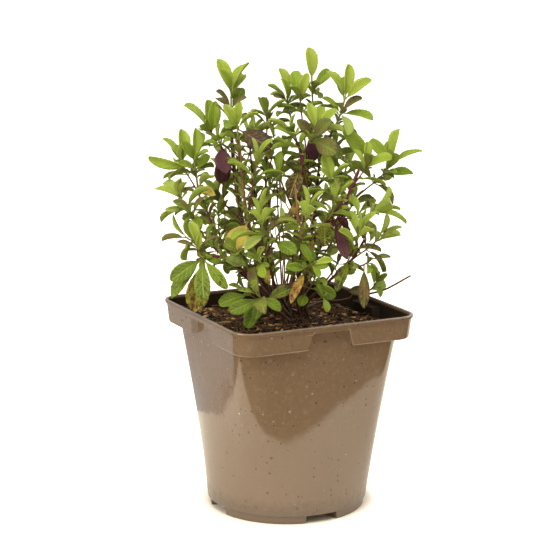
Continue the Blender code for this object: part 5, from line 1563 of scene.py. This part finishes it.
def plasticMaterial():
    colours = plasticPlan
    made, tree, shader = newMaterial("taupe plastic", 0.1, IOR=1.6, Specular_IOR_Level=0.6)
    place = objectPlace(tree)
    z = put(tree, "SeparateXYZ", {0: place}).outputs[2]
    cloud = noisy(tree, place, 22.0, 4.0)
    grime = noisy(tree, place, 260.0, 5.0, 0.7)
    colour = mixed(tree, cloud, colours["deep"], colours["base"])
    dots = speckled(tree, place, 310.0, 0.42, 0.13)
    fine = speckled(tree, place, 900.0, 0.45, 0.1)
    bright = speckled(tree, place, 240.0, 0.2, 0.02)
    colour = mixed(tree, times(tree, fine, 0.35), colour, colours["soil"])
    colour = mixed(tree, times(tree, dots, 0.75), colour, colours["soil"])
    colour = mixed(tree, times(tree, bright, 0.85), colour, colours["pale"])
    # dried water drops leave thin pale rings
    drops = put(tree, "TexVoronoi", {"Vector": place, "Scale": 150.0, "Randomness": 1.0})
    lots = put(tree, "SeparateColor", {0: drops.outputs["Color"]}).outputs
    radius = plus(tree, times(tree, lots[1], 0.2), 0.08)
    ringed = calc(tree, "ABSOLUTE", minus(tree, drops.outputs["Distance"], radius))
    chosen = times(tree, calc(tree, "LESS_THAN", lots[0], 0.4), lots[2])
    high = ease(tree, z, 0.06, 0.1)
    rings = times(tree, times(tree, ease(tree, ringed, 0.07, 0.02), chosen), high)
    film = times(tree, ease(tree, grime, 0.45, 0.75), high)
    haze = calc(tree, "MAXIMUM", times(tree, rings, 0.13), times(tree, film, 0.06))
    colour = mixed(tree, haze, colour, colours["pale"])
    # soil splashed up round the foot
    low = plus(tree, ease(tree, z, 0.045, 0.0), minus(tree, grime, 0.72))
    colour = mixed(tree, times(tree, ease(tree, low, 0.25, 0.7), 0.45), colour, colours["soil"])
    rough = plus(tree, times(tree, grime, 0.06), colours["roughness"])
    rough = plus(tree, rough, times(tree, rings, 0.25))
    rough = plus(tree, rough, times(tree, ease(tree, low, 0.1, 0.7), 0.25))
    ripple = noisy(tree, place, 60.0, 3.0)
    grain = plus(tree, times(tree, ripple, 0.25), times(tree, dots, 0.9))
    grain = plus(tree, grain, times(tree, grime, 0.05))
    dress(tree, shader, colour, rough, grain, 0.35, 0.25 * mm)
    return made


# The inside of the wall: soil streaks and crumbs over painted shade that darkens it far below the outer plastic,
# turning to the outer colour at the rim
def insideShadeAndDirtMaterial():
    colours = plasticPlan
    made, tree, shader = newMaterial("pot inside, soil and painted shade", 0.6, Specular_IOR_Level=0.05)
    place = objectPlace(tree)
    z = put(tree, "SeparateXYZ", {0: place}).outputs[2]
    stretched = put(tree, "Mapping", {"Vector": place, "Scale": (1.0, 1.0, 0.25)}).outputs[0]
    streaks = noisy(tree, stretched, 120.0, 4.0, 0.7)
    crumbs = speckled(tree, place, 420.0, 0.45, 0.2)
    colour = mixed(tree, streaks, colours["insideDirtShadeStreak"], colours["inside"])
    colour = mixed(tree, ease(tree, z, potHeight - 3 * mm, potHeight - 1.2 * mm), colour, colours["base"])
    colour = mixed(tree, times(tree, crumbs, 0.6), colour, colours["soil"])
    rough = plus(tree, times(tree, streaks, 0.3), 0.25)
    dress(tree, shader, colour, rough, plus(tree, crumbs, streaks), 0.5, 0.2 * mm)
    return made


compostPlan = dict(
    rings=34, lump=2.0 * mm, fineLump=1.0 * mm, lumpScale=75, fineScale=260, crumbs=1100,
    crumbSize=(0.5, 1.9),
    chips=480, chipSize=(1.6, 6.0), fibres=640, fibreLength=(4.0, 17.0), fibreRadius=(0.22, 0.6), white=16,
    batch=60,
)


def compostTop(x, y):
    place = Vector((x, y, 0))
    lump = compostPlan["lump"] * noise.noise(place * compostPlan["lumpScale"])
    fine = compostPlan["fineLump"] * noise.noise(place * compostPlan["fineScale"])
    return compostHeight(x, y) + lump + fine


def buildCompost():
    form = bmesh.new()
    inset = wall + gap
    bottom = potPlan["floor"] + gap
    high = skirtBottom + wall
    levels = [bottom + (high - bottom) * share for share in (0.0, 0.5, 0.97)]
    rings = [potOutline(z, *bodyOutline(z, inset)) for z in levels]
    level = potHeight - compostEdge
    edge = rimOutline(level, inset, 1.0)
    ring = startRing(form, rings[0])
    closeRing(form, ring)
    for points in rings[1:]:
        ring = nextRing(form, ring, points)
    for n in range(compostPlan["rings"]):
        share = 1 - (n / compostPlan["rings"]) ** 1.15
        points = [Vector((p.x * share, p.y * share, compostTop(p.x * share, p.y * share))) for p in edge]
        ring = nextRing(form, ring, points)
    closeRing(form, ring)
    bmesh.ops.recalc_face_normals(form, faces=form.faces[:])
    finishPiece("compost_bed", form, [peat], "compost", "compost")


def somewhere(draw, limit=0.93):
    half = (skirtTopHalf - skirtTaper - wall) * limit
    while True:
        x, y = draw.uniform(-half, half), draw.uniform(-half, half)
        beyond = Vector((max(0.0, abs(x) - half + rimCorner), max(0.0, abs(y) - half + rimCorner)))
        far, near = max(abs(x), abs(y)), min(abs(x), abs(y))
        inNotch = far > bodyTopHalf - 4 * mm and near < notchBottomHalf + 4 * mm
        if beyond.length < rimCorner - 1 * mm and not inNotch:
            return x, y


# One crumb, chip or grain, laid on the compost with its look painted on
def lay(form, draw, kind, size, spot, lift, paint, tilt):
    if kind == "chip":
        verts = bmesh.ops.create_cube(form, size=1)["verts"]
    else:
        verts = bmesh.ops.create_icosphere(form, subdivisions=1, radius=1)["verts"]
    turn = Matrix.Rotation(draw.uniform(0, wholeTurn), 4, "Z")
    turn = turn @ Matrix.Rotation(draw.uniform(-tilt, tilt), 4, "X")
    place = Matrix.Translation((*spot, compostTop(*spot) + lift)) @ turn @ Matrix.Diagonal((*size, 1))
    layer = form.verts.layers.float_color["litterLook"]
    for vert in verts:
        vert.co = place @ (vert.co * (1 + draw.uniform(-0.22, 0.22)))
        vert[layer] = paint


# Crumbs, bark chips and white grains. They are laid in batches, because each batch stays quick to add to.
def buildLitter(draw):
    plan = compostPlan
    jobs = ["crumb"] * plan["crumbs"] + ["chip"] * plan["chips"] + ["grain"] * plan["white"]
    whole = bmesh.new()
    for start in range(0, len(jobs), plan["batch"]):
        form = bmesh.new()
        form.verts.layers.float_color.new("litterLook")
        for kind in jobs[start:start + plan["batch"]]:
            if kind == "crumb":
                size = draw.uniform(*plan["crumbSize"]) * mm * draw.uniform(0.6, 1)
                stretch = (size, size * draw.uniform(0.6, 1), size * draw.uniform(0.5, 0.9))
                paint = (draw.random() ** 2 * 0.55, 0, draw.random(), 1)
                lay(form, draw, kind, stretch, somewhere(draw), size * 0.2, paint, 3.1)
            elif kind == "chip":
                long = draw.uniform(*plan["chipSize"]) * mm
                stretch = (long, long * draw.uniform(0.25, 0.7), long * draw.uniform(0.1, 0.25))
                paint = (0.25 + 0.75 * draw.random(), 0, draw.random(), 1)
                lay(form, draw, kind, stretch, somewhere(draw, 0.9), 0.9 * mm, paint, 0.8)
            else:
                size = draw.uniform(0.6, 1.2) * mm
                stretch, paint = (size, size, size * 0.8), (1, 1, 0, 1)
                lay(form, draw, kind, stretch, somewhere(draw, 0.9), size * 0.4, paint, 3.1)
        batch = toMesh("batch", form)
        whole.from_mesh(batch)
        bpy.data.meshes.remove(batch)
    finishPiece("compost_litter", whole, [litterSkin], "compost")


# Fibres and fine roots, drawn as round curves and made a mesh
def buildFibres(draw):
    plan = compostPlan
    curve = bpy.data.curves.new("fibres", "CURVE")
    curve.dimensions = "3D"
    curve.bevel_depth = 1.0
    curve.bevel_resolution = 0
    curve.use_fill_caps = True
    for _ in range(plan["fibres"]):
        x, y = somewhere(draw, 0.88)
        length, heading = draw.uniform(*plan["fibreLength"]) * mm, draw.uniform(0, wholeTurn)
        bend, climb = draw.uniform(-0.9, 0.9), draw.uniform(0.0, 0.28) + 0.4 * draw.random() ** 6
        radius, tone = draw.uniform(*plan["fibreRadius"]) * mm, draw.randrange(3)
        path = []
        for n in range(7):
            t = n / 6
            turn = heading + bend * t
            px, py = x + math.cos(turn) * length * t, y + math.sin(turn) * length * t
            if max(abs(px), abs(py)) > skirtTopHalf - 6 * mm:
                break
            path.append((px, py, compostTop(px, py) + 0.4 * mm + climb * length * t * (1.4 - t), 1.0))
        if len(path) > 3:
            line = curve.splines.new("POLY")
            line.points.add(len(path) - 1)
            line.material_index = tone
            for point, place in zip(line.points, path):
                point.co = place
                point.radius = radius
    drawn = addObject("fibres", curve)
    made = finishedMesh(drawn)
    bpy.data.objects.remove(drawn)
    form = bmesh.new()
    form.from_mesh(made)
    finishPiece("compost_fibres", form, fibreSkins, "compost")


def peatMaterial():
    made, tree, shader = newMaterial("peat", 0.9, Specular_IOR_Level=0.1)
    place = objectPlace(tree)
    cloud = noisy(tree, place, 60.0)
    crumb = put(tree, "TexVoronoi", {"Vector": place, "Scale": 640.0})
    grain = noisy(tree, place, 700.0, 5.0, 0.7)
    pick = put(tree, "SeparateColor", {0: crumb.outputs["Color"]}).outputs[0]
    colour = ramp(tree, plus(tree, times(tree, pick, 0.7), times(tree, cloud, 0.3)), [
        (0.0, (0.008, 0.005, 0.003)), (0.45, (0.024, 0.014, 0.008)), (0.75, (0.07, 0.04, 0.02)),
        (1.0, (0.2, 0.12, 0.055)),
    ])
    height = minus(tree, grain, crumb.outputs["Distance"])
    dress(tree, shader, colour, plus(tree, times(tree, grain, 0.5), 0.45), height, 0.9, 0.9 * mm)
    return made


def litterMaterial():
    made, tree, shader = newMaterial("bark and fibre", 0.8, Specular_IOR_Level=0.1)
    place = objectPlace(tree)
    look = painted(tree, "litterLook")
    grain = noisy(tree, place, 900.0, 4.0, 0.65)
    tone = plus(tree, look[0], swing(tree, grain, 0.3), clamp=True)
    colour = ramp(tree, tone, [
        (0.0, (0.01, 0.006, 0.004)), (0.3, (0.055, 0.027, 0.012)), (0.6, (0.3, 0.14, 0.055)),
        (0.85, (0.6, 0.34, 0.15)), (1.0, (0.75, 0.52, 0.3)),
    ])
    colour = mixed(tree, ease(tree, look[1], 0.4, 0.6), colour, (0.7, 0.68, 0.6))
    dress(tree, shader, colour, plus(tree, times(tree, grain, 0.4), 0.5), grain, 0.7, 0.3 * mm)
    return made


def fibreMaterial(name, dark, pale):
    made, tree, shader = newMaterial(name, 0.7, Specular_IOR_Level=0.15)
    place = objectPlace(tree)
    share = ease(tree, noisy(tree, place, 180.0, 4.0, 0.65), 0.3, 0.7)
    dress(tree, shader, mixed(tree, share, dark, pale), plus(tree, times(tree, share, 0.3), 0.5))
    return made


potSkin, potInsideShadeAndDirt, peat, litterSkin = plasticMaterial(), insideShadeAndDirtMaterial(), peatMaterial(), litterMaterial()
fibreSkins = [
    fibreMaterial("dark fibre", (0.05, 0.027, 0.012), (0.2, 0.11, 0.045)),
    fibreMaterial("brown fibre", (0.2, 0.11, 0.045), (0.48, 0.28, 0.13)),
    fibreMaterial("pale fibre", (0.42, 0.27, 0.13), (0.75, 0.55, 0.33)),
]
buildPot()
print("pot built")
buildCompost()
buildLitter(random.Random(11))
buildFibres(random.Random(12))
print("compost and litter built")

cameraPlan = dict(lens=117.3, sensor=36, farthest=200)
lens = bpy.data.cameras.new("camera")
lens.lens = cameraPlan["lens"]
lens.sensor_width = cameraPlan["sensor"]
lens.clip_end = cameraPlan["farthest"]
camera = addObject("camera", lens)
camera.location = eye
camera.rotation_mode = "QUATERNION"
camera.rotation_quaternion = (-back).to_track_quat("-Z", "Y")
bpy.context.scene.camera = camera

stagePlan = dict(
    floorHalf=30.0, floorColour=(0.93, 0.83, 0.66), glow=0.8, glowFrom=(0.066, 0.085),
    worldColour=(1.0, 1.0, 1.0),
    fill=0.66, seen=1.05,
)


def buildFloor():
    form = bmesh.new()
    bmesh.ops.create_grid(form, x_segments=4, y_segments=4, size=stagePlan["floorHalf"])
    floor = addObject("floor", toMesh("floor", form))
    made, tree, shader = newMaterial("pale floor", 0.8)
    place = objectPlace(tree)
    grain = noisy(tree, place, 8.0)
    low = tuple(c * 0.985 for c in stagePlan["floorColour"])
    tree.links.new(mixed(tree, grain, low, stagePlan["floorColour"]), shader.inputs["Base Color"])
    # the lit white sheet is brighter to the eye and in reflections than the light that it gives back
    ray = put(tree, "LightPath").outputs
    shown = plus(tree, ray["Is Camera Ray"], times(tree, ray["Is Glossy Ray"], 0.15))
    shader.inputs["Emission Color"].default_value = (1, 0.98, 0.95, 1)
    away = put(tree, "VectorMath", {0: place}, operation="LENGTH").outputs["Value"]
    shown = times(tree, shown, ease(tree, away, *stagePlan["glowFrom"]))
    tree.links.new(times(tree, shown, stagePlan["glow"]), shader.inputs["Emission Strength"])
    floor.data.materials.append(made)


# Painted reflections: glowing cards that only the pot's gloss shows, a dark sheet on the floor and a pale bent
# screen that stands on it.
# Their colours and their corners in millimetres.
sheetCorners = [
    (3000, 9000), (3000, 420), (-20, 290), (-105, 285), (-185, 258), (-204, 221), (-225, 176), (-228, 192),
    (-239, 198), (-281, 135), (-300, 105), (-309, 75), (-307, 42), (-292, 31), (-268, -11), (-239, -55),
    (-210, -85), (-176, -116), (-132, -145), (-73, -178), (-36, -195), (-3, -230), (40, -260), (79, -277),
    (130, -290), (175, -288), (205, -255), (257, -180), (331, -55), (367, -26), (1200, 0), (3000, -3000),
    (-3000, -3000), (-9000, 9000),
]
screenFeet = [(-200, 221), (-180, 247), (-107, 272), (-29, 277), (300, 300)]
screenHeight = 1000
reflectionCards = [
    ((0.02, 0.016, 0.012), [(x, y, 1) for x, y in sheetCorners]),
    ((0.66, 0.66, 0.66), [
        (-224, 176, 0), (-200, 221, 0), (-200, 221, screenHeight), (-214.1, 194.5, screenHeight),
        (-214.1, 194.5, 70), (-209.9, 202.5, 50), (-209.9, 202.5, 26), (-212.7, 197.2, 20), (-216.5, 190.1, 14), (-220.2, 183.1, 8),
    ]),
] + [
    ((0.66, 0.66, 0.66), [(*a, 0), (*b, 0), (*b, screenHeight), (*a, screenHeight)])
    for a, b in zip(screenFeet, screenFeet[1:])
]


def buildReflectionCards():
    for number, (colour, corners) in enumerate(reflectionCards):
        name = "reflection_card_" + str(number)
        form = bmesh.new()
        outline = bmesh.ops.create_circle(form, cap_ends=True, segments=len(corners), radius=1)["verts"]
        for vert, corner in zip(outline, corners):
            vert.co = Vector(corner) * mm
        card = addObject(name, toMesh(name, form))
        # each card glows with its colour: a painted reflection that only glossy rays see
        made, _, shader = newMaterial(name, 1.0, Specular_IOR_Level=0.0, Emission_Strength=1.0)
        shader.inputs["Base Color"].default_value = (0, 0, 0, 1)
        shader.inputs["Emission Color"].default_value = (*colour, 1)
        card.data.materials.append(made)
        card.visible_camera = card.visible_diffuse = card.visible_shadow = False
        card.visible_transmission = card.visible_volume_scatter = False


# Soft boxes: name, where, size, power, and the point they face
softBoxes = [
    ("top", (-0.5, -0.8, 2.0), 1.5, 44, (0, 0, 0.2)),
    ("left", (-2.0, -0.2, 1.0), 1.2, 24, (0, 0, 0.2)),
    ("right", (1.8, -0.4, 0.9), 1.0, 8, (0, 0, 0.2)),
]


def buildLights():
    world = bpy.data.worlds.new("studio")
    bpy.context.scene.world = world
    world.use_nodes = True
    sky = world.node_tree.nodes["Background"]
    sky.inputs["Color"].default_value = (*stagePlan["worldColour"], 1)
    ray = put(world.node_tree, "LightPath").outputs
    shown = calc(world.node_tree, "MAXIMUM", ray["Is Camera Ray"], ray["Is Glossy Ray"])
    lit = put(world.node_tree, "MapRange", {0: shown, 3: stagePlan["fill"], 4: stagePlan["seen"]}).outputs[0]
    world.node_tree.links.new(lit, sky.inputs["Strength"])
    for name, place, size, power, target in softBoxes:
        light = bpy.data.lights.new(name, "AREA")
        light.size = size
        light.energy = power
        lamp = addObject(name, light)
        lamp.location = place
        lamp.rotation_mode = "QUATERNION"
        lamp.rotation_quaternion = (Vector(target) - Vector(place)).to_track_quat("-Z", "Y")


buildFloor()
buildReflectionCards()
buildLights()
bpy.context.scene.view_settings.view_transform = "Standard"
print("stage set")
